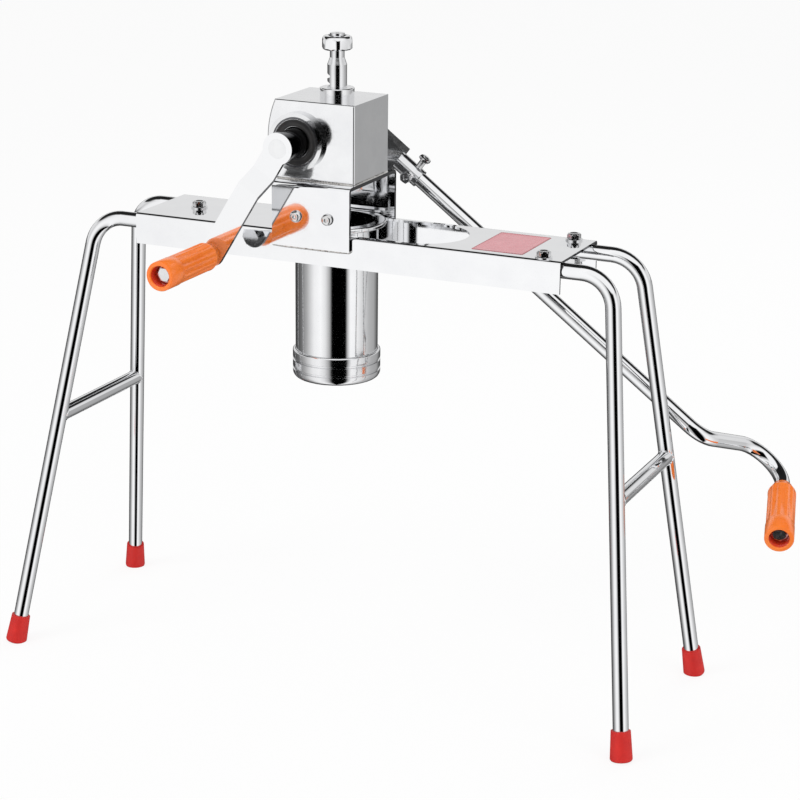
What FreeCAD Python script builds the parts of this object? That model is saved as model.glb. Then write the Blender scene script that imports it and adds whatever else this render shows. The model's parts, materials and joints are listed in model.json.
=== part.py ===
import FreeCAD, Part
import math
import os
import re

import Sketcher
from FreeCAD import Placement, Rotation, Vector

# Bench press for fresh pasta: a beam on four tube legs carries a barrel, and a
# crank, a pinion and a toothed rod push a piston down through it.
# All sizes are millimetres. X runs along the beam, Y to the back, Z up from the
# table, and the toothed rod stands on X = Y = 0 until the part is centred.

SIZES = {
    # Beam, a folded channel, open below, with a long slot for the barrel
    "beam_length": 381.0,
    "beam_left": 167.5,
    "beam_width": 84.0,
    "beam_top": 384.0,
    "beam_depth": 26.0,
    "beam_sheet": 2.0,
    "beam_fold": 3.0,
    "slot_reach": 81.0,
    "slot_play": 1.0,
    # Bent tube legs, their braces and boots
    "tube_diameter": 12.7,
    "tube_wall": 1.5,
    "tube_hold": 60.0,
    "weld_gap": 0.02,
    "tube_bend": 28.0,
    "left_bend_reach": 42.2,
    "right_bend_reach": 40.4,
    "left_foot_out": 55.0,
    "right_foot_out": 43.5,
    "left_foot_half": 102.0,
    "right_foot_half": 94.0,
    "brace_height": 203.0,
    "boot_height": 24.0,
    "boot_top_radius": 8.0,
    "boot_foot_radius": 9.25,
    "boot_sole": 4.0,
    "boot_round": 2.6,
    "boot_squash": 0.9,
    "boot_fit": 0.03,
    # Screws of the beam
    "beam_bolt_radius": 3.0,
    "beam_bolt_flats": 10.0,
    "beam_bolt_head": 4.5,
    "beam_nut_height": 5.0,
    "beam_bolt_end": 3.0,
    "washer_radius": 7.0,
    "washer_thick": 1.2,
    "right_bolt_inset": 17.0,
    "left_bolt_inset": 37.5,
    "clamp_bar_width": 16.0,
    "clamp_bar_thick": 3.0,
    "clamp_bar_play": 1.0,
    "hole_play": 0.2,
    # Yoke, a folded bracket welded astride the beam
    "yoke_sheet": 3.0,
    "yoke_rise": 40.8,
    "yoke_lap": 12.0,
    "yoke_left": 37.0,
    "yoke_right": 33.0,
    "yoke_fold": 4.0,
    "yoke_bolt_rise": 13.5,
    "yoke_bolt_left": -15.0,
    "yoke_bolt_right": 13.5,
    "yoke_bolt_radius": 2.5,
    "yoke_bolt_head_radius": 5.0,
    "yoke_bolt_head": 3.6,
    "yoke_bolt_end": 1.0,
    "yoke_nut_flats": 8.0,
    "yoke_nut_height": 3.6,
    "keeper_sheet": 2.0,
    "keeper_lip": 6.5,
    "keeper_rise": 16.0,
    "keeper_gap": 0.3,
    "keeper_length": 60.0,
    # Gear housing
    "housing_left": 40.6,
    "housing_right": 31.3,
    "housing_width": 65.0,
    "housing_height": 64.6,
    "housing_wall": 3.0,
    "housing_bulge": 80.0,
    "housing_round": 1.5,
    # Shaft, pinion and bearings
    "shaft_rise": 31.7,
    "shaft_radius": 8.0,
    "gear_module": 2.0,
    "gear_teeth": 14.0,
    "gear_pressure": 20.0,
    "gear_width": 24.0,
    "gear_backlash": 0.24,
    "gear_dedendum": 2.5,
    "rack_addendum": 1.5,
    "bearing_radius": 24.0,
    "bearing_plate": 5.0,
    "bearing_spigot": 15.0,
    "bearing_recess": 13.0,
    "bearing_recess_depth": 3.0,
    "bearing_groove_radius": 19.0,
    "bearing_groove": 1.6,
    "gear_end_play": 1.0,
    "running_fit": 0.06,
    # Toothed rod, its nut and guide
    "rack_radius": 8.0,
    "rack_gaps_below": 18.0,
    "rack_gaps_above": 8.0,
    "rack_stand": 26.8,
    "rack_taper": 5.7,
    "rack_neck_radius": 6.0,
    "rack_neck_length": 11.1,
    "rack_nut_flats": 24.0,
    "rack_nut_height": 12.7,
    "rack_nut_chamfer": 2.0,
    "rack_thread_end": 1.5,
    "rack_cutter_reach": 1.0,
    "bush_radius": 14.15,
    "bush_height": 8.1,
    "bush_round": 1.0,
    "bush_spigot": 11.0,
    # Piston
    "piston_lift": 34.0,
    "piston_height": 20.0,
    "piston_play": 0.5,
    "seal_play": 0.08,
    "seal_height": 6.0,
    "seal_depth": 3.4,
    "piston_socket": 14.0,
    "piston_screw_radius": 3.0,
    "piston_screw_head": 6.0,
    "piston_screw_flats": 9.6,
    "piston_screw_head_height": 3.6,
    # Barrel, die and cap
    "barrel_bore": 32.0,
    "barrel_wall": 2.5,
    "barrel_drop": 122.0,
    "flange_radius": 41.0,
    "flange_thick": 4.0,
    "flange_round": 1.4,
    "die_radius": 34.0,
    "die_thick": 5.0,
    "die_hole": 2.2,
    "die_ring": 8.4,
    "die_ring_holes": 6.0,
    "cap_radius": 36.8,
    "cap_height": 24.0,
    "cap_lip": 3.5,
    "cap_mouth": 29.0,
    "cap_thread_play": 0.3,
    "cap_groove": 1.4,
    "cap_groove_depth": 0.8,
    "cap_round": 1.6,
    # Front crank, a joggled flat bar
    "front_angle": -121.5,
    "front_reach": 105.0,
    "front_bar_width": 20.5,
    "front_bar_thick": 4.0,
    "front_bar_out": 64.5,
    "front_joggle": 12.5,
    "front_joggle_start": 26.0,
    "front_joggle_run": 14.0,
    "front_head_radius": 13.0,
    "hub_radius": 12.0,
    # Grips and their screws
    "grip_length": 82.0,
    "grip_radius": 11.75,
    "grip_root_radius": 8.6,
    "grip_root_length": 9.0,
    "grip_collar": 6.5,
    "grip_collar_radius": 12.0,
    "grip_round": 1.1,
    "grip_mouth": 6.5,
    "grip_mouth_depth": 12.0,
    "grip_flutes": 8.0,
    "grip_flute_radius": 9.0,
    "grip_flute_depth": 0.9,
    "grip_flute_stop": 2.0,
    "grip_gap": 0.3,
    "grip_bolt_radius": 4.0,
    "grip_bolt_flats": 10.0,
    "grip_bolt_head": 5.0,
    "grip_nut_flats": 13.0,
    "grip_nut_height": 6.0,
    "grip_bolt_hold": 8.0,
    # Long rear crank
    "rear_angle": -36.66,
    "rear_plane": 74.6,
    "rear_hub_thick": 13.0,
    "rear_hub_height": 23.0,
    "rear_hub_length": 52.0,
    "socket_radius": 8.0,
    "socket_length": 24.0,
    "socket_play": 0.06,
    "rod_start": 26.0,
    "rod_radius": 6.35,
    "rod_out_angle": 60.0,
    "rod_out_bend": 25.0,
    "rod_back_angle": 72.0,
    "rod_back_bend": 27.0,
    "rod_root_reach": 474.0,
    "rod_root_out": 33.6,
    "rod_tail": 6.0,
    "clamp_screw_radius": 3.0,
    "clamp_screw_inset": 7.0,
    "clamp_screw_length": 12.0,
}

# Places and sizes worked out from the ones above
WORKED = {
    "yoke_top": "beam_top + yoke_rise",
    "yoke_depth": "yoke_rise + yoke_lap",
    "yoke_bolt_height": "beam_top + yoke_bolt_rise",
    "housing_top": "yoke_top + housing_height",
    "shaft_height": "yoke_top + shaft_rise",
    "rack_shoulder": "housing_top + rack_stand",
    "rack_nut_seat": "rack_shoulder + rack_neck_length",
    "barrel_bottom": "beam_top - barrel_drop",
    "piston_bottom": "barrel_bottom + piston_lift",
    "beam_half": "beam_width / 2",
    "tube_radius": "tube_diameter / 2",
    "tube_side": "beam_half - beam_sheet - tube_radius",
    "tube_level": "beam_top - beam_sheet - tube_radius",
    "beam_right": "beam_length - beam_left",
    "slot_radius": "barrel_bore + barrel_wall + slot_play",
    "barrel_outside": "barrel_bore + barrel_wall",
    "flange_top": "beam_top + flange_thick",
    "right_bolt_x": "beam_right - right_bolt_inset",
    "left_bolt_x": "left_bolt_inset - beam_left",
    "bar_bottom": "tube_level - tube_radius - clamp_bar_thick",
    "yoke_half": "beam_half + yoke_sheet",
    "yoke_length": "yoke_left + yoke_right",
    "housing_half": "housing_width / 2",
    "gear_radius": "gear_module * gear_teeth / 2",
    "gear_tip": "gear_radius + gear_module",
    "gear_root": "gear_radius - gear_dedendum",
    "pitch_line": "rack_radius - gear_dedendum",
    "rack_pitch": "gear_module * pi",
    "shaft_x": "-(pitch_line + gear_radius)",
    "rack_tip": "pitch_line + rack_addendum",
    "rack_root": "pitch_line - gear_dedendum",
    "tooth_slope": "tan(gear_pressure)",
    "piston_radius": "barrel_bore - piston_play",
    "piston_top": "piston_bottom + piston_height",
    "rod_end": "piston_top - piston_socket",
    "seal_radius": "barrel_bore - seal_play",
    "seal_inner": "seal_radius - seal_depth",
    "seal_bottom": "piston_bottom + (piston_height - seal_height) / 2",
    "die_bottom": "barrel_bottom - die_thick",
    "cap_bottom": "die_bottom - cap_lip",
    "cap_bore": "barrel_outside + cap_thread_play",
    "bearing_face": "housing_half + bearing_plate",
    "bearing_inner": "gear_width / 2 + gear_end_play",
    "hub_start": "bearing_face - bearing_recess_depth + running_fit",
    "front_far": "front_bar_out + front_joggle",
    "front_face": "front_far + front_bar_thick",
    "front_cos": "cos(front_angle)",
    "front_sin": "sin(front_angle)",
    "front_grip_x": "shaft_x + front_reach * front_cos",
    "front_grip_z": "shaft_height + front_reach * front_sin",
    "rear_cos": "cos(rear_angle)",
    "rear_sin": "sin(rear_angle)",
    "rear_near": "rear_plane - rear_hub_thick / 2",
    "rear_far": "rear_plane + rear_hub_thick / 2",
    "socket_end": "rear_hub_length + socket_length",
}

CELLS = re.compile(r"\b[a-z][a-z_0-9]*\b")

# How near two places are that count as one, and the share of a body that is next to nothing
NEAR = 1e-3
SLIGHT = 1e-6

# A turned object starts at some angle, because without one its axis is lost
SOME_ANGLE = 30

os.makedirs("parts", exist_ok=True)
doc = FreeCAD.newDocument("PastaPress")
sheet = doc.addObject("Spreadsheet::Sheet", "Sizes")
slate = doc.addObject("Spreadsheet::Sheet", "Slate")
centre = doc.addObject("App::VarSet", "Centre")
centre.addProperty("App::PropertyFloat", "shift_x")
centre.addProperty("App::PropertyFloat", "shift_y")
pieces = []
anchors = {}


def fill_sheet():
    """Writes each size as a number, and each worked place as a formula of them."""
    row = 0
    for name, content in list(SIZES.items()) + [(k, "=" + v) for k, v in WORKED.items()]:
        row += 1
        sheet.set(f"A{row}", name)
        sheet.set(f"B{row}", str(content))
        sheet.setAlias(f"B{row}", name)
    doc.recompute()


def formula(text):
    """Points each word that names a cell at the sheet."""
    known = lambda word: word in SIZES or word in WORKED
    return CELLS.sub(lambda m: "Sizes." + m[0] if known(m[0]) else m[0], str(text))


def number(text):
    """The present value of a formula."""
    slate.set("A1", "=" + formula(text))
    slate.recompute()
    found = slate.get("A1")
    return float(getattr(found, "Value", found))


def bind(obj, **links):
    for name, text in links.items():
        obj.setExpression(name, formula(text))
    return obj


def place(obj, x="0", y="0", z="0", axis=None, angle="0"):
    """Puts an object at a point, turned about an axis through it."""
    if axis:
        obj.Placement = Placement(Vector(), Rotation(Vector(*axis), SOME_ANGLE))
        obj.setExpression("Placement.Rotation.Angle", formula(angle))
    for letter, text in zip("xyz", (x, y, z)):
        obj.setExpression("Placement.Base." + letter, formula(text))
    anchors[obj.Name] = (x, y)
    return obj


def piece(obj, label):
    """Names a sub-part, and centres it with the rest of the press."""
    obj.Label = label
    x, y = anchors.get(obj.Name, ("0", "0"))
    obj.setExpression("Placement.Base.x", formula(f"({x}) - Centre.shift_x"))
    obj.setExpression("Placement.Base.y", formula(f"({y}) - Centre.shift_y"))
    pieces.append(obj)
    return obj


# Where a round bar that is drawn along Z points after its turn
ALONG = {
    "z": (None, "0"),
    "-z": ((1, 0, 0), "180"),
    "y": ((1, 0, 0), "-90"),
    "-y": ((1, 0, 0), "90"),
    "x": ((0, 1, 0), "90"),
    "-x": ((0, 1, 0), "-90"),
}


def bar(name, radius, length, x="0", y="0", z="0", along="z"):
    """A round bar that starts at a point."""
    made = doc.addObject("Part::Cylinder", name)
    bind(made, Radius=radius, Height=length)
    axis, angle = ALONG[along]
    return place(made, x, y, z, axis, angle)


def hexagon(name, flats, length, x="0", y="0", z="0", along="z"):
    """A six-sided bar, by its width across flats."""
    made = doc.addObject("Part::Prism", name)
    made.Polygon = 6
    bind(made, Circumradius=f"({flats}) / sqrt(3)", Height=length)
    axis, angle = ALONG[along]
    return place(made, x, y, z, axis, angle)


def block(name, length, width, height, x="0", y="0", z="0"):
    made = doc.addObject("Part::Box", name)
    bind(made, Length=length, Width=width, Height=height)
    return place(made, x, y, z)


def join(name, *solids):
    made = doc.addObject("Part::MultiFuse", name)
    made.Shapes = list(solids)
    made.Refine = True
    return made


def group(name, *solids):
    """Several separate solids as one object."""
    made = doc.addObject("Part::Compound", name)
    made.Links = list(solids)
    return made


def cut(name, base, *tools):
    made = doc.addObject("Part::Cut", name)
    made.Base = base
    made.Tool = tools[0] if len(tools) == 1 else group(name + "_tools", *tools)
    return made


def common(name, *solids):
    made = doc.addObject("Part::MultiCommon", name)
    made.Shapes = list(solids)
    return made


def screw(name, radius, length, flats, head, x, y, z, along):
    """A hexagon screw whose shank starts at a point and whose head stands behind it."""
    behind = {"z": ("x", "y", "-"), "y": ("x", "-", "z"), "x": ("-", "y", "z")}[along[-1]]
    step = f"- ({head})" if len(along) == 1 else f"+ ({head})"
    at = [text + step if mark == "-" else text for text, mark in zip((x, y, z), behind)]
    shank = bar(name + "_shank", radius, length, x, y, z, along)
    cap = hexagon(name + "_head", flats, head, *at, along=along)
    return join(name, shank, cap)


def new_sketch(body, plane, name):
    """A sketch on one of the body's own planes."""
    made = body.newObject("Sketcher::SketchObject", name)
    flat = next(f for f in body.Origin.OriginFeatures if f.Role == plane)
    made.AttachmentSupport = [(flat, "")]
    made.MapMode = "FlatFace"
    return made


def pin(sketch, geometry, end, x, y):
    """Holds one point of a sketch at formulas of the sheet."""
    for kind, text in (("DistanceX", x), ("DistanceY", y)):
        made = sketch.addConstraint(
            Sketcher.Constraint(kind, -1, 1, geometry, end, number(text)))
        label = f"{kind[-1].lower()}{made}"
        sketch.renameConstraint(made, label)
        sketch.setExpression("Constraints." + label, formula(text))


def outline(body, plane, name, corners):
    """A closed outline of straight sides."""
    sketch = new_sketch(body, plane, name)
    points = [Vector(number(x), number(y), 0) for x, y in corners]
    for i, start in enumerate(points):
        sketch.addGeometry(Part.LineSegment(start, points[(i + 1) % len(points)]), False)
    for i in range(len(points)):
        sketch.addConstraint(Sketcher.Constraint("Coincident", i, 2, (i + 1) % len(points), 1))
    for i, (x, y) in enumerate(corners):
        pin(sketch, i, 1, x, y)
    return sketch


def circles(body, plane, name, rings):
    """Circles, each given by the formulas of its middle and its radius."""
    sketch = new_sketch(body, plane, name)
    for i, (x, y, radius) in enumerate(rings):
        middle = Vector(number(x), number(y), 0)
        sketch.addGeometry(Part.Circle(middle, Vector(0, 0, 1), number(radius)), False)
        pin(sketch, i, 3, x, y)
        made = sketch.addConstraint(Sketcher.Constraint("Radius", i, number(radius)))
        sketch.renameConstraint(made, f"radius{i}")
        sketch.setExpression(f"Constraints.radius{i}", formula(radius))
    return sketch


def both_sides(feature):
    """Lets a pad or pocket run evenly to both sides of its sketch."""
    if "SideType" in feature.PropertiesList:
        feature.SideType = "Symmetric"
    else:
        feature.Midplane = True


def new_body(name):
    return doc.addObject("PartDesign::Body", name)


def pad(body, sketch, length, even=False):
    made = body.newObject("PartDesign::Pad", sketch.Name + "_pad")
    made.Profile = sketch
    bind(made, Length=length)
    if even:
        both_sides(made)
    sketch.Visibility = False
    return made


def pocket(body, sketch, length, even=False):
    """Cuts a sketch out of a body, in the direction that takes material away."""
    doc.recompute()
    before = body.Shape.Volume
    made = body.newObject("PartDesign::Pocket", sketch.Name + "_pocket")
    made.Profile = sketch
    bind(made, Length=length)
    if even:
        both_sides(made)
    doc.recompute()
    if not even and before - body.Shape.Volume < before * SLIGHT:
        made.Reversed = True
        doc.recompute()
    if before - body.Shape.Volume < before * SLIGHT:
        raise RuntimeError(f"{made.Name} cuts nothing")
    return made


def turn(body, sketch):
    """Turns a sketch about its own upright axis."""
    made = body.newObject("PartDesign::Revolution", sketch.Name + "_turn")
    made.Profile = sketch
    made.ReferenceAxis = (sketch, ["V_Axis"])
    made.Angle = 360
    return made


def turned(name, corners):
    """A body turned about its Z axis, from (radius, height) corners."""
    body = new_body(name)
    turn(body, outline(body, "XZ_Plane", name + "_outline", corners))
    return body


def soften(body, name, radius, chosen):
    """Rounds the edges that a test picks."""
    doc.recompute()
    last = body.Tip
    names = [f"Edge{i}" for i, edge in enumerate(last.Shape.Edges, 1) if chosen(edge)]
    made = body.newObject("PartDesign::Fillet", name)
    made.Base = (last, names)
    bind(made, Radius=radius)
    return made


def ring_at(radius, height):
    """Picks the circular edge of one radius at one height."""
    def chosen(edge):
        curve = edge.Curve
        if not isinstance(curve, Part.Circle):
            return False
        return abs(curve.Radius - radius) < NEAR and abs(curve.Center.z - height) < NEAR
    return chosen


def polar(body, feature, sketch, count):
    """Repeats a feature evenly round the normal of its sketch."""
    made = body.newObject("PartDesign::PolarPattern", feature.Name + "_ring")
    made.Originals = [feature]
    made.Axis = (sketch, ["N_Axis"])
    made.Angle = 360
    bind(made, Occurrences=count)
    body.Tip = made
    return made


def section(name, corners, length):
    """A body of one section along X, from (Y, Z) corners."""
    body = new_body(name)
    pad(body, outline(body, "YZ_Plane", name + "_outline", corners), length)
    return body


def channel(name, length, half, top, depth, sheet_size, fold):
    """A folded channel, open below, whose outer and inner folds are round."""
    inner = f"{half} - {sheet_size}"
    body = section(name, [
        (f"-({half})", f"{top} - {depth}"), (f"-({half})", top), (half, top),
        (half, f"{top} - {depth}"), (inner, f"{top} - {depth}"),
        (inner, f"{top} - {sheet_size}"), (f"-({inner})", f"{top} - {sheet_size}"),
        (f"-({inner})", f"{top} - {depth}"),
    ], length)

    def along_fold(half_width, height):
        def chosen(edge):
            middle = edge.BoundBox.Center
            long = edge.BoundBox.XLength > edge.Length * 0.99
            return long and abs(abs(middle.y) - half_width) < NEAR and abs(middle.z - height) < NEAR
        return chosen

    soften(body, name + "_outer", fold, along_fold(number(half), number(top)))
    inner_top = number(f"{top} - {sheet_size}")
    soften(body, name + "_inner", f"{fold} - {sheet_size}", along_fold(number(inner), inner_top))
    return body


def beam():
    """The channel with its slot and screw holes."""
    body = channel("Beam", "beam_length", "beam_half", "beam_top", "beam_depth", "beam_sheet",
                   "beam_fold")
    place(body, "-beam_left")
    high = "beam_depth"
    low = "beam_top - beam_depth / 2"
    ends = [bar(f"SlotEnd{i}", "slot_radius", high, x, "0", low)
            for i, x in enumerate(("0", "slot_reach"))]
    middle = block("SlotMiddle", "slot_reach", "2 * slot_radius", high, "0", "-slot_radius", low)
    holes = [bar(f"BeamHole{i}", "beam_bolt_radius + hole_play", high, x, y, low)
             for i, (x, y) in enumerate(beam_bolt_places())]
    return piece(cut("BeamCut", body, *ends, middle, *holes), "beam_channel")


def beam_bolt_places():
    return [("right_bolt_x", "-tube_side"), ("right_bolt_x", "tube_side"), ("left_bolt_x", "0")]


def straight(name, start, end, radius):
    """A round bar between two points."""
    made = doc.addObject("Part::Cylinder", name)
    bind(made, Radius=radius)
    made.Height = start.distanceToPoint(end)
    made.Placement = Placement(start, Rotation(Vector(0, 0, 1), end - start))
    return made


def bend(name, start, middle, axis, turn_angle, radius):
    """A piece of a ring that starts at a point and turns about an axis through its middle."""
    made = doc.addObject("Part::Torus", name)
    made.Radius1 = start.distanceToPoint(middle)
    bind(made, Radius2=radius)
    made.Angle3 = math.degrees(turn_angle)
    outward = (start - middle).normalize()
    made.Placement = Placement(middle, Rotation(outward, axis.cross(outward), axis, "ZXY"))
    return made


def bent_bar(name, points, radii, radius):
    """A round bar of straight runs joined by tangent bends."""
    parts = []
    start = points[0]
    for i, bend_radius in enumerate(radii, 1):
        corner = points[i]
        before = (corner - points[i - 1]).normalize()
        after = (points[i + 1] - corner).normalize()
        turn_angle = before.getAngle(after)
        reach = bend_radius * math.tan(turn_angle / 2)
        first = corner - before * reach
        middle = corner + (after - before).normalize() * (bend_radius / math.cos(turn_angle / 2))
        axis = before.cross(after).normalize()
        parts.append(straight(f"{name}Run{i}", start, first, radius))
        parts.append(bend(f"{name}Bend{i}", first, middle, axis, turn_angle, radius))
        start = corner + after * reach
    parts.append(straight(f"{name}Tail", start, points[-1], radius))
    return join(name, *parts)


def leg_lean(side):
    """How far a leg runs outwards, sideways and down from its bend, as formulas."""
    out = f"{side}_foot_out"
    aside = f"({side}_foot_half - tube_side)"
    return out, aside, "tube_level"


def leg(side, row):
    """One bent tube, clamped in the beam and splayed down to its boot."""
    sign = 1 if row == "back" else -1
    way = -1 if side == "left" else 1
    out, aside, down = leg_lean(side)
    slant = number(f"hypot({aside}; {down})")
    full = math.hypot(slant, number(out))
    stop = 1 - number("boot_sole") / full
    bend_x = way * number(f"tube_hold + {side}_bend_reach")
    points = [
        Vector(0, 0, 0),
        Vector(bend_x, 0, 0),
        Vector(bend_x + way * number(out) * stop, 0, -slant * stop),
    ]
    name = f"Leg{side.title()}{row.title()}"
    radii = [number("tube_bend")]
    body = cut(name, bent_bar(name + "Skin", points, radii, "tube_radius"),
               bent_bar(name + "Bore", points, radii, "tube_radius - tube_wall"))
    start = "tube_hold - beam_left" if side == "left" else "beam_right - tube_hold"
    place(body, start, f"{sign} * tube_side", "tube_level", (1, 0, 0),
          f"{sign} * atan2({aside}; {down})")
    if side == "left":
        return piece(body, f"leg_{row}_{side}")
    x, y = ("right_bolt_x", f"{sign} * tube_side")
    hole = bar(name + "Hole", "beam_bolt_radius + hole_play", "4 * tube_radius", x, y,
               "tube_level - 2 * tube_radius")
    return piece(cut(name + "Cut", body, hole), f"leg_{row}_{side}")


def leg_frame(side, row):
    """The foot point of a leg on the table, and the turn that lines Z up with the leg."""
    sign = 1 if row == "back" else -1
    way = -1 if side == "left" else 1
    out, aside, down = leg_lean(side)
    edge = "-beam_left" if side == "left" else "beam_right"
    foot_x = f"({edge}) + {way} * ({side}_bend_reach + {out})"
    foot_y = f"{sign} * {side}_foot_half"
    up = Vector(-way * number(out), -sign * number(aside), number(down))
    return foot_x, foot_y, Rotation(Vector(0, 0, 1), up)


def lean(obj, side, row, lift="0"):
    """Stands an object that is drawn along Z on the axis of a leg."""
    foot_x, foot_y, tilt = leg_frame(side, row)
    axis = tilt.Axis
    up = tilt.multVec(Vector(0, 0, 1))
    return place(obj, f"{foot_x} + ({lift}) * {up.x:.9f}", f"{foot_y} + ({lift}) * {up.y:.9f}",
                 f"({lift}) * {up.z:.9f}", (axis.x, axis.y, axis.z), f"{math.degrees(tilt.Angle):.9f}")


def boot(side, row):
    """A rubber boot on the end of a leg, pressed flat where it meets the table."""
    name = f"Boot{side.title()}{row.title()}"
    body = turned(name, [
        ("0", "-boot_squash"), ("boot_foot_radius", "-boot_squash"),
        ("boot_top_radius", "boot_height"), ("tube_radius + boot_fit", "boot_height"),
        ("tube_radius + boot_fit", "boot_sole"), ("0", "boot_sole"),
    ])
    soften(body, name + "_round", "boot_round",
           ring_at(number("boot_foot_radius"), -number("boot_squash")))
    lean(body, side, row)
    foot_x, foot_y, _ = leg_frame(side, row)
    floor = block(name + "Floor", "4 * boot_foot_radius", "4 * boot_foot_radius",
                  "2 * boot_foot_radius", f"{foot_x} - 2 * boot_foot_radius",
                  f"{foot_y} - 2 * boot_foot_radius", "-2 * boot_foot_radius")
    return piece(cut(name + "Cut", body, floor), f"foot_cap_{row}_{side}")


def brace(side):
    """The bar welded between the two legs of one end, coped round their tubes."""
    way = -1 if side == "left" else 1
    out, aside, down = leg_lean(side)
    share = f"(brace_height / {down})"
    edge = "-beam_left" if side == "left" else "beam_right"
    x = f"({edge}) + {way} * ({side}_bend_reach + {out} * (1 - {share}))"
    half = f"({side}_foot_half - {aside} * {share})"
    rod = bar(f"Brace{side.title()}", "tube_radius", f"2 * {half}", x, f"-{half}",
              "brace_height", "y")
    tools = []
    for row in ("front", "back"):
        tool = bar(f"Cope{side.title()}{row.title()}", "tube_radius + weld_gap", "brace_height * 2")
        tools.append(lean(tool, side, row))
    return piece(cut(f"Brace{side.title()}Cut", rod, *tools), f"cross_brace_{side}")


def beam_fasteners():
    """Screws down through the beam, two through the right tubes and one to the clamp bar."""
    screws, washers, nuts = [], [], []
    seat = "beam_top + washer_thick"
    for i, (x, y) in enumerate(beam_bolt_places()):
        under = "bar_bottom" if i == 2 else "tube_level - tube_radius"
        long = f"{seat} - ({under}) + beam_nut_height + beam_bolt_end"
        screws.append(screw(f"BeamScrew{i}", "beam_bolt_radius", long, "beam_bolt_flats",
                            "beam_bolt_head", x, y, seat, "-z"))
        ring = bar(f"BeamWasher{i}", "washer_radius", "washer_thick", x, y, "beam_top")
        hole = bar(f"BeamWasherHole{i}", "beam_bolt_radius + hole_play", "washer_thick", x, y,
                   "beam_top")
        washers.append(cut(f"BeamWasherCut{i}", ring, hole))
        low = f"{under} - beam_nut_height"
        nut = hexagon(f"BeamNut{i}", "beam_bolt_flats", "beam_nut_height", x, y, low)
        bore = bar(f"BeamNutBore{i}", "beam_bolt_radius", "beam_nut_height", x, y, low)
        nuts.append(cut(f"BeamNutCut{i}", nut, bore))
    piece(group("BeamScrews", *screws), "beam_bolts")
    piece(group("BeamWashers", *washers), "beam_washers")
    piece(group("BeamNuts", *nuts), "beam_nuts")
    strap = block("ClampBar", "clamp_bar_width", "2 * (beam_half - beam_sheet - clamp_bar_play)",
                  "clamp_bar_thick", "left_bolt_x - clamp_bar_width / 2",
                  "-(beam_half - beam_sheet - clamp_bar_play)", "bar_bottom")
    hole = bar("ClampBarHole", "beam_bolt_radius + hole_play", "clamp_bar_thick", "left_bolt_x",
               "0", "bar_bottom")
    piece(cut("ClampBarCut", strap, hole), "leg_clamp_bar")


def yoke():
    """The bracket astride the beam, with its keepers and their screws."""
    body = channel("Yoke", "yoke_length", "yoke_half", "yoke_top", "yoke_depth", "yoke_sheet",
                   "yoke_fold")
    place(body, "-yoke_left")
    middle = bar("YokeBore", "rack_radius + running_fit", "2 * yoke_sheet", "0", "0",
                 "yoke_top - 1.5 * yoke_sheet")
    places = [(x, sign) for sign in (-1, 1) for x in ("yoke_bolt_left", "yoke_bolt_right")]
    holes = [bar(f"YokeHole{i}", "yoke_bolt_radius + hole_play", "2 * yoke_half", x,
                 "-yoke_half", "yoke_bolt_height", "y") for i, (x, sign) in enumerate(places[:2])]
    piece(cut("YokeCut", body, middle, *holes), "yoke_bracket")

    screws, nuts = [], []
    inside = "beam_half - keeper_sheet"
    for i, (x, sign) in enumerate(places):
        along = "-y" if sign > 0 else "y"
        start = f"{sign} * yoke_half"
        shank = bar(f"YokeShank{i}", "yoke_bolt_radius",
                    "yoke_sheet + keeper_sheet + yoke_nut_height + yoke_bolt_end", x, start,
                    "yoke_bolt_height", along)
        away = "y" if sign > 0 else "-y"
        head = bar(f"YokeHead{i}", "yoke_bolt_head_radius", "yoke_bolt_head", x, start,
                   "yoke_bolt_height", away)
        screws.append(join(f"YokeScrew{i}", shank, head))
        nut = hexagon(f"YokeNut{i}", "yoke_nut_flats", "yoke_nut_height", x,
                      f"{sign} * ({inside})", "yoke_bolt_height", along)
        bore = bar(f"YokeNutBore{i}", "yoke_bolt_radius", "yoke_nut_height", x,
                   f"{sign} * ({inside})", "yoke_bolt_height", along)
        nuts.append(cut(f"YokeNutCut{i}", nut, bore))
    piece(group("YokeScrews", *screws), "yoke_bolts")
    piece(group("YokeNuts", *nuts), "yoke_nuts")

    for row, sign in (("front", -1), ("back", 1)):
        low = "flange_top + keeper_gap"
        wall = f"{sign} * beam_half"
        thin = f"{sign} * (beam_half - keeper_sheet)"
        lip = f"{sign} * (beam_half - keeper_lip)"
        body = section(f"Keeper{row.title()}", [
            (wall, low), (wall, f"{low} + keeper_rise"), (thin, f"{low} + keeper_rise"),
            (thin, f"{low} + keeper_sheet"), (lip, f"{low} + keeper_sheet"), (lip, low),
        ], "keeper_length")
        place(body, "(yoke_right - yoke_left - keeper_length) / 2")
        holes = [bar(f"Keeper{row.title()}Hole{i}", "yoke_bolt_radius + hole_play",
                     "2 * yoke_half", x, "-yoke_half", "yoke_bolt_height", "y")
                 for i, x in enumerate(("yoke_bolt_left", "yoke_bolt_right"))]
        piece(cut(f"Keeper{row.title()}Cut", body, *holes), f"barrel_keeper_{row}")


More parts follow.
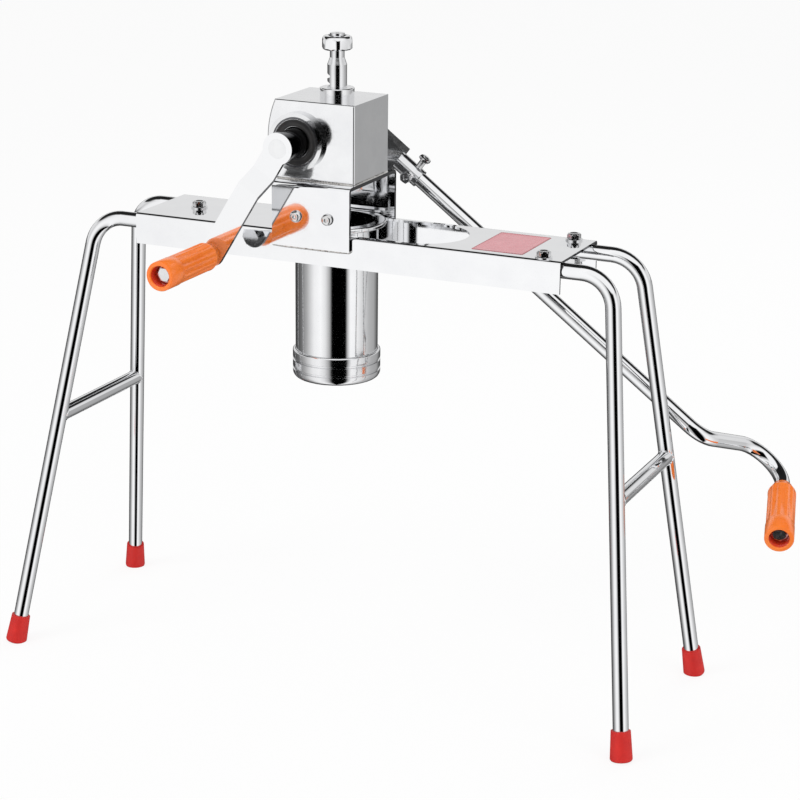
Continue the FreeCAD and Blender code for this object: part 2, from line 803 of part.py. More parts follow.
def housing_block(name, inset):
    """The gear housing's outline, with its bulged left side, drawn in by a wall."""
    body = new_body(name)
    sketch = new_sketch(body, "XZ_Plane", name + "_outline")
    left, right = f"{inset} - housing_left", f"housing_right - {inset}"
    low, high = f"yoke_top + {inset}", f"housing_top - {inset}"
    bulge = number(f"housing_bulge - {inset}")
    corners = [(left, low), (right, low), (right, high), (left, high)]
    points = [Vector(number(x), number(y), 0) for x, y in corners]
    for start, end in zip(points, points[1:]):
        sketch.addGeometry(Part.LineSegment(start, end), False)
    half = (points[3].y - points[0].y) / 2
    swell = bulge - math.sqrt(bulge ** 2 - half ** 2)
    belly = (points[3] + points[0]) / 2 - Vector(swell, 0, 0)
    sketch.addGeometry(Part.Arc(points[3], belly, points[0]), False)
    for i, (x, y) in enumerate(corners[:3]):
        pin(sketch, i, 1, x, y)
    pin(sketch, 2, 2, left, high)
    for i in range(2):
        sketch.addConstraint(Sketcher.Constraint("Coincident", i, 2, i + 1, 1))
    sketch.addConstraint(Sketcher.Constraint("Coincident", 2, 2, 3, 1))
    sketch.addConstraint(Sketcher.Constraint("Coincident", 3, 2, 0, 1))
    made = sketch.addConstraint(Sketcher.Constraint("Radius", 3, bulge))
    sketch.renameConstraint(made, "bulge")
    sketch.setExpression("Constraints.bulge", formula(f"housing_bulge - {inset}"))
    pad(body, sketch, f"housing_width - 2 * ({inset})", even=True)
    return body


def housing():
    """The welded gear housing, hollow, with bores for the shaft and the rod."""
    outer = housing_block("Housing", "0")
    doc.recompute()
    front = number("housing_half")
    soften(outer, "Housing_round", "housing_round",
           lambda edge: abs(abs(edge.BoundBox.Center.y) - front) < NEAR
           and edge.BoundBox.YLength < NEAR)
    inner = housing_block("HousingInside", "housing_wall")
    shaft_bore = bar("HousingBore", "bearing_spigot", "housing_width * 2", "shaft_x",
                     "-housing_width", "shaft_height", "y")
    top = bar("HousingTopBore", "bush_spigot", "housing_wall * 2", "0", "0",
              "housing_top - 1.5 * housing_wall")
    bottom = bar("HousingBottomBore", "rack_radius + hole_play", "housing_wall * 2", "0",
                 "0", "yoke_top - housing_wall / 2")
    piece(cut("HousingCut", outer, inner, shaft_bore, top, bottom), "gearbox_housing")

    bush = turned("Bush", [
        ("rack_radius + running_fit", "housing_top - housing_wall"),
        ("bush_spigot", "housing_top - housing_wall"), ("bush_spigot", "housing_top"),
        ("bush_radius", "housing_top"), ("bush_radius", "housing_top + bush_height"),
        ("rack_radius + running_fit", "housing_top + bush_height"),
    ])
    soften(bush, "Bush_round", "bush_round",
           ring_at(number("bush_radius"), number("housing_top + bush_height")))
    piece(bush, "top_guide_bush")

    for row, along in (("front", "-y"), ("rear", "y")):
        bore = "shaft_radius + running_fit"
        ring, groove = "bearing_groove_radius", "bearing_groove"
        body = turned(f"Bearing{row.title()}", [
            (bore, "bearing_inner"), ("bearing_spigot", "bearing_inner"),
            ("bearing_spigot", "housing_half"), ("bearing_radius", "housing_half"),
            ("bearing_radius", "bearing_face"), (f"{ring} + {groove}", "bearing_face"),
            (f"{ring} + {groove}", f"bearing_face - {groove}"), (ring, f"bearing_face - {groove}"),
            (ring, "bearing_face"), ("bearing_recess", "bearing_face"),
            ("bearing_recess", "bearing_face - bearing_recess_depth"),
            (bore, "bearing_face - bearing_recess_depth"),
        ])
        axis, angle = ALONG[along]
        place(body, "shaft_x", "0", "shaft_height", axis, angle)
        piece(body, f"{row}_bearing")


def pinion():
    """The gear on the shaft, with involute teeth, one of which points at the rod."""
    body = new_body("Pinion")
    pad(body, circles(body, "XY_Plane", "Pinion_root", [("0", "0", "gear_root")]),
        "gear_width", even=True)
    pitch, tip, root = number("gear_radius"), number("gear_tip"), number("gear_root")
    pressure = math.radians(number("gear_pressure"))
    base = pitch * math.cos(pressure)
    spread = math.tan(pressure) - pressure
    thick = math.pi * number("gear_module") / 2 - number("gear_backlash") / 2
    half_pitch = thick / (2 * pitch)

    def flank(radius, side):
        """A point of the tooth's flank at one radius."""
        angle = half_pitch + spread
        if radius > base:
            roll = math.acos(base / radius)
            angle -= math.tan(roll) - roll
        return Vector(radius * math.cos(angle), side * radius * math.sin(angle), 0)

    sketch = new_sketch(body, "XY_Plane", "Pinion_tooth")
    deep = root - number("gear_module") / 4
    middle = (base + tip) / 2
    sides = {side: [flank(r, side) for r in (deep, base, middle, tip)] for side in (1, -1)}
    low, high = sides[-1], sides[1]
    edges = [
        Part.LineSegment(low[0], low[1]), Part.Arc(low[1], low[2], low[3]),
        Part.Arc(low[3], Vector(tip, 0, 0), high[3]), Part.Arc(high[3], high[2], high[1]),
        Part.LineSegment(high[1], high[0]), Part.LineSegment(high[0], low[0]),
    ]
    for edge in edges:
        sketch.addGeometry(edge, False)
    tooth = pad(body, sketch, "gear_width", even=True)
    doc.recompute()
    polar(body, tooth, sketch, "gear_teeth")
    axis, angle = ALONG["y"]
    place(body, "shaft_x", "0", "shaft_height", axis, angle)
    bore = bar("PinionBore", "shaft_radius", "2 * gear_width", "shaft_x", "-gear_width",
               "shaft_height", "y")
    return piece(cut("PinionCut", body, bore), "pinion_gear")


def rack():
    """The toothed rod, its top nut and the piston that it carries."""
    nut_top = "rack_nut_seat + rack_nut_height"
    body = turned("Rack", [
        ("0", "rod_end"), ("rack_neck_radius", "rod_end"), ("rack_neck_radius", "piston_top"),
        ("rack_radius", "piston_top"), ("rack_radius", "rack_shoulder"),
        ("rack_neck_radius", "rack_shoulder + rack_taper"),
        ("rack_neck_radius", f"{nut_top} + rack_thread_end"), ("0", f"{nut_top} + rack_thread_end"),
    ])
    low = "shaft_height - (rack_gaps_below + 0.5) * rack_pitch"
    high = "shaft_height + (rack_gaps_above + 0.5) * rack_pitch"
    out = "-(rack_radius + rack_cutter_reach)"
    flat = outline(body, "XZ_Plane", "Rack_flat", [
        (out, low), ("-rack_tip", low), ("-rack_tip", high), (out, high)])
    pocket(body, flat, "3 * rack_radius", even=True)
    half = "(rack_pitch / 4 + gear_backlash / 4)"
    slope_in = "gear_dedendum * tooth_slope"
    slope_out = "(rack_radius + rack_cutter_reach - pitch_line) * tooth_slope"
    first = "shaft_height - rack_gaps_below * rack_pitch"
    gap = outline(body, "XZ_Plane", "Rack_gap", [
        ("-rack_root", f"{first} - ({half} - {slope_in})"),
        ("-rack_root", f"{first} + ({half} - {slope_in})"),
        (out, f"{first} + ({half} + {slope_out})"),
        (out, f"{first} - ({half} + {slope_out})"),
    ])
    groove = pocket(body, gap, "3 * rack_radius", even=True)
    row = body.newObject("PartDesign::LinearPattern", "Rack_row")
    row.Originals = [groove]
    row.Direction = (gap, ["V_Axis"])
    bind(row, Length="(rack_gaps_below + rack_gaps_above) * rack_pitch",
         Occurrences="rack_gaps_below + rack_gaps_above + 1")
    body.Tip = row
    screw_hole = bar("RackScrewHole", "piston_screw_radius", "piston_socket", "0", "0", "rod_end")
    piece(cut("RackCut", body, screw_hole), "rack_rod")

    nut = hexagon("TopNut", "rack_nut_flats", "rack_nut_height", z="rack_nut_seat")
    cone = turned("TopNutCone", [
        ("0", "rack_nut_seat"), ("rack_nut_flats / sqrt(3)", "rack_nut_seat"),
        ("rack_nut_flats / sqrt(3)", f"{nut_top} - rack_nut_chamfer"),
        ("rack_nut_flats / 2", nut_top), ("0", nut_top),
    ])
    bore = bar("TopNutBore", "rack_neck_radius", "rack_nut_height", z="rack_nut_seat")
    piece(cut("TopNutCut", common("TopNutForm", nut, cone), bore), "rack_top_nut")


def piston():
    """The piston, its seal ring and the screw that holds it on the rod."""
    head_seat = "piston_bottom + piston_screw_head_height"
    body = turned("Piston", [
        ("piston_screw_head + hole_play", "piston_bottom"), ("piston_radius", "piston_bottom"),
        ("piston_radius", "seal_bottom"), ("seal_inner", "seal_bottom"),
        ("seal_inner", "seal_bottom + seal_height"),
        ("piston_radius", "seal_bottom + seal_height"), ("piston_radius", "piston_top"),
        ("rack_neck_radius", "piston_top"), ("rack_neck_radius", "rod_end"),
        ("piston_screw_radius + hole_play", "rod_end"),
        ("piston_screw_radius + hole_play", head_seat),
        ("piston_screw_head + hole_play", head_seat),
    ])
    piece(body, "piston_disc")
    seal = turned("Seal", [
        ("seal_inner", "seal_bottom"), ("seal_radius", "seal_bottom"),
        ("seal_radius", "seal_bottom + seal_height"), ("seal_inner", "seal_bottom + seal_height"),
    ])
    piece(seal, "piston_seal")
    fastener = screw("PistonScrew", "piston_screw_radius", "piston_socket", "piston_screw_flats",
                     "piston_screw_head_height", "0", "0", head_seat, "z")
    piece(fastener, "piston_screw")


def barrel():
    """The barrel that hangs in the slot by its flange."""
    body = turned("Barrel", [
        ("barrel_bore", "barrel_bottom"), ("barrel_outside", "barrel_bottom"),
        ("barrel_outside", "beam_top"), ("flange_radius", "beam_top"),
        ("flange_radius", "flange_top"), ("barrel_bore", "flange_top"),
    ])
    for i, level in enumerate(("beam_top", "flange_top")):
        soften(body, f"Barrel_round{i}", "flange_round",
               ring_at(number("flange_radius"), number(level)))
    return piece(body, "barrel")


def die():
    """The perforated plate at the barrel's mouth, its holes in three rings."""
    body = new_body("Die")
    pad(body, circles(body, "XY_Plane", "Die_disc", [("0", "0", "die_radius")]), "die_thick")
    pocket(body, circles(body, "XY_Plane", "Die_middle", [("0", "0", "die_hole")]), "die_thick")
    for ring in (1, 2, 3):
        sketch = circles(body, "XY_Plane", f"Die_ring{ring}",
                         [(f"{ring} * die_ring", "0", "die_hole")])
        hole = pocket(body, sketch, "die_thick")
        polar(body, hole, sketch, f"{ring} * die_ring_holes")
    place(body, z="die_bottom")
    return piece(body, "die_plate")


def cap():
    """The grooved ring that holds the die to the barrel."""
    corners = [("cap_mouth", "cap_bottom"), ("cap_radius", "cap_bottom")]
    deep = "cap_radius - cap_groove_depth"
    for share in (1, 2):
        level = f"cap_bottom + cap_height * {share} / 3"
        corners += [
            ("cap_radius", f"{level} - cap_groove / 2"), (deep, f"{level} - cap_groove / 2"),
            (deep, f"{level} + cap_groove / 2"), ("cap_radius", f"{level} + cap_groove / 2")]
    corners += [
        ("cap_radius", "cap_bottom + cap_height"), ("cap_bore", "cap_bottom + cap_height"),
        ("cap_bore", "die_bottom"), ("cap_mouth", "die_bottom")]
    body = turned("Cap", corners)
    soften(body, "Cap_round", "cap_round", ring_at(number("cap_radius"), number("cap_bottom")))
    return piece(body, "barrel_cap")


def grip(name, label):
    """A fluted turning grip, drawn along Z from its root."""
    mouth = "grip_length - grip_mouth_depth"
    shank = "grip_bolt_radius + running_fit"
    collar = "grip_length - grip_collar"
    body = turned(name, [
        (shank, "0"), ("grip_root_radius", "0"), ("grip_radius", "grip_root_length"),
        ("grip_radius", collar), ("grip_collar_radius", collar),
        ("grip_collar_radius", "grip_length"), ("grip_mouth", "grip_length"),
        ("grip_mouth", mouth), (shank, mouth),
    ])
    soften(body, name + "_round", "grip_round",
           ring_at(number("grip_collar_radius"), number("grip_length")))
    sketch = circles(body, "XY_Plane", name + "_flute",
                     [("grip_radius + grip_flute_radius - grip_flute_depth", "0",
                       "grip_flute_radius")])
    sketch.setExpression("AttachmentOffset.Base.z", formula("grip_root_length"))
    flute = pocket(body, sketch, f"{collar} - grip_root_length - grip_flute_stop")
    polar(body, flute, sketch, "grip_flutes")
    return body


def crank_frame(obj, which):
    """Turns a piece that is drawn with its arm along X to a crank's angle."""
    return place(obj, "shaft_x", "0", "shaft_height", (0, -1, 0), f"{which}_angle")


def front_crank():
    """The joggled bar with its hub, and the grip screwed to its end."""
    start, run = "front_joggle_start", "front_joggle_run"
    near, far, thick = "front_bar_out", "front_far", "front_bar_thick"
    lead = f"({thick} * front_joggle / (2 * front_joggle_run))"
    ends = ("-front_head_radius", "front_reach + front_bar_width / 2")
    body = new_body("ArmSection")
    pad(body, outline(body, "XY_Plane", "Arm_outline", [
        (ends[0], f"-({near})"), (f"{start} + {lead}", f"-({near})"),
        (f"{start} + {run} + {lead}", f"-({far})"), (ends[1], f"-({far})"),
        (ends[1], f"-({far} + {thick})"), (f"{start} + {run} - {lead}", f"-({far} + {thick})"),
        (f"{start} - {lead}", f"-({near} + {thick})"), (ends[0], f"-({near} + {thick})"),
    ]), "4 * front_head_radius", even=True)
    deep = "2 * front_face"
    face = join(
        "ArmFace",
        bar("ArmHead", "front_head_radius", deep, y="-2 * front_face", along="y"),
        bar("ArmEnd", "front_bar_width / 2", deep, "front_reach", "-2 * front_face", along="y"),
        block("ArmStrip", "front_reach", "2 * front_face", "front_bar_width", "0",
              "-2 * front_face", "-front_bar_width / 2"))
    hub = bar("ArmHub", "hub_radius", "front_bar_out - hub_start", y="-front_bar_out", along="y")
    solid = join("ArmSolid", common("ArmForm", body, face), hub)
    bore = bar("ArmBore", "shaft_radius", "2 * front_face", y="-2 * front_face", along="y")
    hole = bar("ArmHole", "grip_bolt_radius + hole_play", "2 * front_face", "front_reach",
               "-2 * front_face", along="y")
    piece(crank_frame(cut("ArmCut", solid, bore, hole), "front"), "front_crank_arm")

    body = grip("FrontGrip", "front_grip")
    axis, angle = ALONG["-y"]
    place(body, "front_grip_x", "-(front_face + grip_gap)", "front_grip_z", axis, angle)
    piece(body, "front_grip")

    head_face = "front_face + grip_gap + grip_length - grip_mouth_depth + grip_gap"
    long = f"{head_face} - front_far + grip_nut_height"
    fastener = screw("FrontGripScrew", "grip_bolt_radius", long, "grip_bolt_flats",
                     "grip_bolt_head", "front_grip_x", f"-({head_face})", "front_grip_z", "y")
    piece(fastener, "front_grip_bolt")
    nut = hexagon("FrontGripNut", "grip_nut_flats", "grip_nut_height", "front_grip_x",
                  "-front_far", "front_grip_z", "y")
    bore = bar("FrontGripNutBore", "grip_bolt_radius", "grip_nut_height", "front_grip_x",
               "-front_far", "front_grip_z", "y")
    piece(cut("FrontGripNutCut", nut, bore), "front_grip_nut")


def rod_points():
    """The long rod's corners, along the rod and to the back, from its inner end."""
    out = math.radians(number("rod_out_angle"))
    back = math.radians(number("rod_back_angle"))
    both = out + back
    reach_back = number("rod_back_bend") * math.tan(both / 2)
    tail = reach_back + number("rod_tail")
    root = Vector(number("rod_root_reach - rod_start"), number("rod_root_out"), 0)
    away = Vector(math.cos(back), -math.sin(back), 0)
    far = root - away * tail
    along = far.y / math.sin(out)
    knee = far - Vector(math.cos(out), math.sin(out), 0) * along
    return [Vector(0, 0, 0), Vector(knee.x, 0, 0), far, root], away


def rear_crank():
    """The hub block and socket, the long bent rod clamped in them, and its grip."""
    half = "rear_hub_height / 2"
    hub = join(
        "RearSolid",
        block("RearBlock", "rear_hub_length", "rear_hub_thick", "rear_hub_height", "0",
              "rear_near", f"-({half})"),
        bar("RearEnd", half, "rear_hub_thick", y="rear_near", along="y"),
        bar("RearSleeve", "hub_radius", "rear_near - hub_start", y="hub_start", along="y"))
    bore = bar("RearBore", "shaft_radius", "4 * rear_plane", y="-rear_plane", along="y")
    seat = bar("RearSeat", "rod_radius + socket_play", "rear_hub_length", "rod_start",
               "rear_plane", along="x")
    piece(crank_frame(cut("RearHubCut", hub, bore, seat), "rear"), "rear_crank_hub")

    tube = bar("SocketTube", "socket_radius", "socket_length", "rear_hub_length", "rear_plane",
               along="x")
    bore = bar("SocketBore", "rod_radius + socket_play", "socket_length", "rear_hub_length",
               "rear_plane", along="x")
    holes, screws = [], []
    x = "socket_end - clamp_screw_inset"
    for i, (y, z, along) in enumerate((
            ("rear_plane", "rod_radius + socket_play", "z"),
            ("rear_plane - rod_radius - socket_play", "0", "-y"))):
        holes.append(bar(f"SocketHole{i}", "clamp_screw_radius", "clamp_screw_length", x, y, z,
                         along))
        screws.append(bar(f"ClampScrew{i}", "clamp_screw_radius", "clamp_screw_length", x, y, z,
                          along))
    piece(crank_frame(cut("SocketCut", tube, bore, *holes), "rear"), "rod_socket")
    piece(crank_frame(group("ClampScrews", *screws), "rear"), "rod_clamp_screws")

    points, away = rod_points()
    body = bent_bar("LongRod", points, [number("rod_out_bend"), number("rod_back_bend")],
                    "rod_radius")
    place(body, "shaft_x + rod_start * rear_cos", "rear_plane",
          "shaft_height + rod_start * rear_sin", (0, -1, 0), "rear_angle")
    doc.recompute()
    root = points[-1]
    turn_in = Rotation(Vector(0, -1, 0), number("rear_angle"))
    outward = turn_in.multVec(away)
    end = Vector(number("shaft_x"), 0, number("shaft_height"))
    end += turn_in.multVec(root + Vector(number("rod_start"), number("rear_plane"), 0))
    tilt = Rotation(Vector(0, 0, 1), outward)

    def at_end(obj, step):
        """Stands an object drawn along Z on the rod's end, a step outwards."""
        spot = end + outward * number(step)
        return place(obj, f"{spot.x:.9f}", f"{spot.y:.9f}", f"{spot.z:.9f}",
                     (tilt.Axis.x, tilt.Axis.y, tilt.Axis.z), f"{math.degrees(tilt.Angle):.9f}")

    deep = "grip_bolt_hold"
    hole = at_end(bar("RodHole", "grip_bolt_radius", deep), f"-({deep})")
    piece(cut("LongRodCut", body, hole), "long_crank_rod")
    piece(at_end(grip("RearGrip", "rear_grip"), "grip_gap"), "rear_grip")

    head_face = "grip_length - grip_mouth_depth + 2 * grip_gap"
    shank = bar("RearGripShank", "grip_bolt_radius", f"{head_face} + ({deep})", z=f"-({deep})")
    head = hexagon("RearGripHead", "grip_bolt_flats", "grip_bolt_head", z=head_face)
    piece(at_end(join("RearGripScrew", shank, head), "0"), "rear_grip_bolt")


def shaft():
    """The crank shaft, from the front bar through the housing to the rear hub."""
    long = "front_bar_out + front_bar_thick + rear_far"
    piece(bar("Shaft", "shaft_radius", long, "shaft_x", "-(front_bar_out + front_bar_thick)",
              "shaft_height", "y"), "crank_shaft")


def check(objects):
    """Stops on any object that failed, and on any empty or broken shape."""
    for obj in objects:
        if "Invalid" in obj.State or "Error" in obj.State:
            raise RuntimeError(f"{obj.Name} failed: {obj.State}")
    for obj in pieces:
        if obj.Shape.isNull() or not obj.Shape.isValid() or not obj.Shape.Solids:
            raise RuntimeError(f"{obj.Label} has no sound shape")


def centre_part():
    """Moves the origin to the middle of the press, at table height."""
    doc.recompute()
    check(doc.Objects)
    boxes = [obj.Shape.optimalBoundingBox(False) for obj in pieces]
    centre.shift_x = (min(b.XMin for b in boxes) + max(b.XMax for b in boxes)) / 2
    centre.shift_y = (min(b.YMin for b in boxes) + max(b.YMax for b in boxes)) / 2
    doc.recompute()


def main():
    fill_sheet()
    beam()
    for side in ("left", "right"):
        for row in ("front", "back"):
            leg(side, row)
            boot(side, row)
        brace(side)
    beam_fasteners()
    yoke()
    housing()
    shaft()
    pinion()
    rack()
    piston()
    barrel()
    die()
    cap()
    front_crank()
    rear_crank()
    centre_part()
    doc.removeObject(slate.Name)
    check(doc.Objects)
    print(f"middle {centre.shift_x:.4f} {centre.shift_y:.4f}")
    for obj in pieces:
        obj.Shape.exportStep(f"parts/{obj.Label}.step")
        box = obj.Shape.BoundBox
        print(f"{obj.Label}: {len(obj.Shape.Solids)} solids, {obj.Shape.Volume:.0f} mm3, "
              f"z {box.ZMin:.1f} to {box.ZMax:.1f}")


main()
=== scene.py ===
"""Dresses the bench press for fresh pasta: metals, rubber, plastic, welds, threads and studio.

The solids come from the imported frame. This file gives each of them a finish, adds the small
pieces that the solids leave out, and sets up the floor, the light and the camera.
"""
from __future__ import annotations

import json
import logging
import math
import random
from dataclasses import dataclass, field
from enum import Enum

import bmesh
import bpy
from mathutils import Matrix, Vector
from mathutils.bvhtree import BVHTree

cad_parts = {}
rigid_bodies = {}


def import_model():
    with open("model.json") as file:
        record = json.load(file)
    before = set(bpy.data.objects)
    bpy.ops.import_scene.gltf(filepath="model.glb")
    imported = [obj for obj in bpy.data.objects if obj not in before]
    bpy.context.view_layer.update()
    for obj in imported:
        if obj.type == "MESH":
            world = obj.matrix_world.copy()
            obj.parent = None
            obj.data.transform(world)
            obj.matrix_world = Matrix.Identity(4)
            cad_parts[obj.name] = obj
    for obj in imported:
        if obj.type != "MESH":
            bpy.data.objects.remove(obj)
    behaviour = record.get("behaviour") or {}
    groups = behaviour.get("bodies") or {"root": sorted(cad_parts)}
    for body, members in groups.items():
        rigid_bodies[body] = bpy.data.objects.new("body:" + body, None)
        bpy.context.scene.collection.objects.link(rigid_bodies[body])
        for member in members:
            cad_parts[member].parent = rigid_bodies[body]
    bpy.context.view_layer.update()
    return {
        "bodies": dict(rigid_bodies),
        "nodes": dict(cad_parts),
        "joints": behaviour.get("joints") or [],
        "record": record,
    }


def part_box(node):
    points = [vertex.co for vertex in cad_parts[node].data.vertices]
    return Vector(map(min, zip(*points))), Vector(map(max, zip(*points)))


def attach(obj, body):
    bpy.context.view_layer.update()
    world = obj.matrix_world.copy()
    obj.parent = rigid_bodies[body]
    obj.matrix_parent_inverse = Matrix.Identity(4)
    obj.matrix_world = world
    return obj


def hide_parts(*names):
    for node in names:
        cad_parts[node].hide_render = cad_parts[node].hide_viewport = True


MM = 0.001
LOG = logging.getLogger("pasta_press")
Colour = tuple[float, float, float]
Pair = tuple[float, float]
Socket = bpy.types.NodeSocket
Row = list[bmesh.types.BMVert]
SHARP_EDGE = math.radians(35.0)
THREAD_DEPTH = 0.54
FLUTES = 11
FLUTE_DEPTH = 1.25
FLUTE_SHARPNESS = 1.4
CORNER_LIMIT = 1.08
BEAD_RIPPLE = 0.16
BEAD_UNEVEN = (0.93, 1.07)
UP = Vector((0, 0, 1))
ACROSS_BEADS = Vector((0.3, 0.2, 1))


class Lines(Enum):
    """Which way the marks of polishing or turning run on a metal piece."""

    ALONG_X = "drawn along the beam"
    ALONG_Y = "drawn from front to back"
    ALONG_Z = "drawn upright"
    ROUND_Z = "turned about an upright axis"
    ROUND_Y = "turned about the shaft's axis"
    FACE_Y = "turned across a face that looks along the shaft"
    FACE_Z = "turned across a face that looks up"
    EVERY_WAY = "tumbled, with no direction"


class Outline(Enum):
    """The shape of one ring of a built-up piece."""

    ROUND = "a circle"
    HEX = "a hexagon"
    SOFT_HEX = "a hexagon with turned corners"
    RIBBED = "a circle with eleven flutes"


@dataclass(frozen=True)
class MachinePlace:
    """Turns a place on the machine, in millimetres from the toothed rod's axis, into the frame."""

    axis_x: float
    axis_y: float

    @classmethod
    def from_barrel(cls) -> MachinePlace:
        """Finds the toothed rod's axis as the middle of the barrel."""
        low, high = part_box("barrel")
        return cls((low.x + high.x) / 2, (low.y + high.y) / 2)

    def at(self, x: float, y: float, z: float) -> Vector:
        """The place in metres of a point given in millimetres."""
        return Vector((self.axis_x + x * MM, self.axis_y + y * MM, z * MM))

    def stand(self, x: float, y: float, z: float, along: Vector) -> Matrix:
        """A matrix that stands a piece drawn along Z at a point, along a direction.

        Args:
            x: millimetres along the beam.
            y: millimetres to the back.
            z: millimetres above the table.
            along: the direction that the piece's own Z takes.

        Returns:
            The matrix that places the piece.
        """
        turn = UP.rotation_difference(along.normalized()).to_matrix().to_4x4()
        return Matrix.Translation(self.at(x, y, z)) @ turn


class NodeWriter:
    """Writes the sums of one node tree."""

    def __init__(self, tree: bpy.types.NodeTree) -> None:
        """Keeps the tree's nodes and links at hand.

        Args:
            tree: the tree that is written in.
        """
        self.nodes = tree.nodes
        self.links = tree.links

    def feed(self, socket: Socket, value: Socket | float | tuple[float, ...]) -> None:
        """Links a socket, or sets its constant.

        Args:
            socket: the socket that is fed.
            value: the socket that feeds it, or the constant.
        """
        if isinstance(value, bpy.types.NodeSocket):
            self.links.new(value, socket)
        else:
            socket.default_value = value

    def calc(self, kind: str, first: Socket, second: Socket | float | None = None) -> Socket:
        """One step of arithmetic.

        Args:
            kind: the step, as Blender names it.
            first: the first value.
            second: the second value, where the step takes two.

        Returns:
            The result.
        """
        node = self.nodes.new("ShaderNodeMath")
        node.operation = kind
        self.feed(node.inputs[0], first)
        if second is not None:
            self.feed(node.inputs[1], second)
        return node.outputs["Value"]

    def largest(self, values: list[Socket]) -> Socket:
        """The largest of several values.

        Args:
            values: the values.

        Returns:
            The largest one.
        """
        found = values[0]
        for value in values[1:]:
            found = self.calc("MAXIMUM", found, value)
        return found

    def along(self, direction: Socket, axis: Vector) -> Socket:
        """How far a direction runs along an axis.

        Args:
            direction: the direction.
            axis: the axis.

        Returns:
            Their dot product.
        """
        node = self.nodes.new("ShaderNodeVectorMath")
        node.operation = "DOT_PRODUCT"
        self.links.new(direction, node.inputs[0])
        node.inputs[1].default_value = axis
        return node.outputs["Value"]

    def spread(self, value: Socket, low: float = 0.0, high: float = 1.0, start: float = 0.3,
               end: float = 0.7, soft: bool = False) -> Socket:
        """Stretches a value over a range of its own.

        Args:
            value: the value, such as a noise.
            low: what its low end becomes.
            high: what its high end becomes.
            start: where its low end lies.
            end: where its high end lies.
            soft: True to ease in and out.

        Returns:
            The stretched value.
        """
        node = self.nodes.new("ShaderNodeMapRange")
        node.interpolation_type = "SMOOTHSTEP" if soft else "LINEAR"
        for name, number in (("From Min", start), ("From Max", end), ("To Min", low),
                             ("To Max", high)):
            node.inputs[name].default_value = number
        self.links.new(value, node.inputs["Value"])
        return node.outputs["Result"]

    def mix(self, share: Socket, first: Socket | float, second: Socket | float) -> Socket:
        """A value that runs from one value to another.

        Args:
            share: how much of the second there is, from 0 to 1.
            first: the first value.
            second: the second value.

        Returns:
            The mixed value.
        """
        node = self.nodes.new("ShaderNodeMix")
        node.data_type = "FLOAT"
        for name, value in (("Factor", share), ("A", first), ("B", second)):
            self.feed(node.inputs[name], value)
        return node.outputs["Result"]

    def ramp(self, angle: Socket, stops: tuple[Pair, ...], span: float) -> Socket:
        """A brightness that follows an angle.

        Args:
            angle: the angle in radians.
            stops: places in degrees, and the brightness at each.
            span: the ramp runs from -span to span degrees.

        Returns:
            The brightness.
        """
        node = self.nodes.new("ShaderNodeValToRGB")
        entries = node.color_ramp.elements
        while len(entries) > 1:
            entries.remove(entries[-1])
        for i, (degrees, value) in enumerate(stops):
            spot = (degrees + span) / (2 * span)
            entry = entries[0] if i == 0 else entries.new(spot)
            entry.position = spot
            entry.color = (value, value, value, 1)
        reach = math.radians(span)
        self.links.new(self.spread(angle, 0.0, 1.0, -reach, reach), node.inputs["Fac"])
        return node.outputs["Color"]


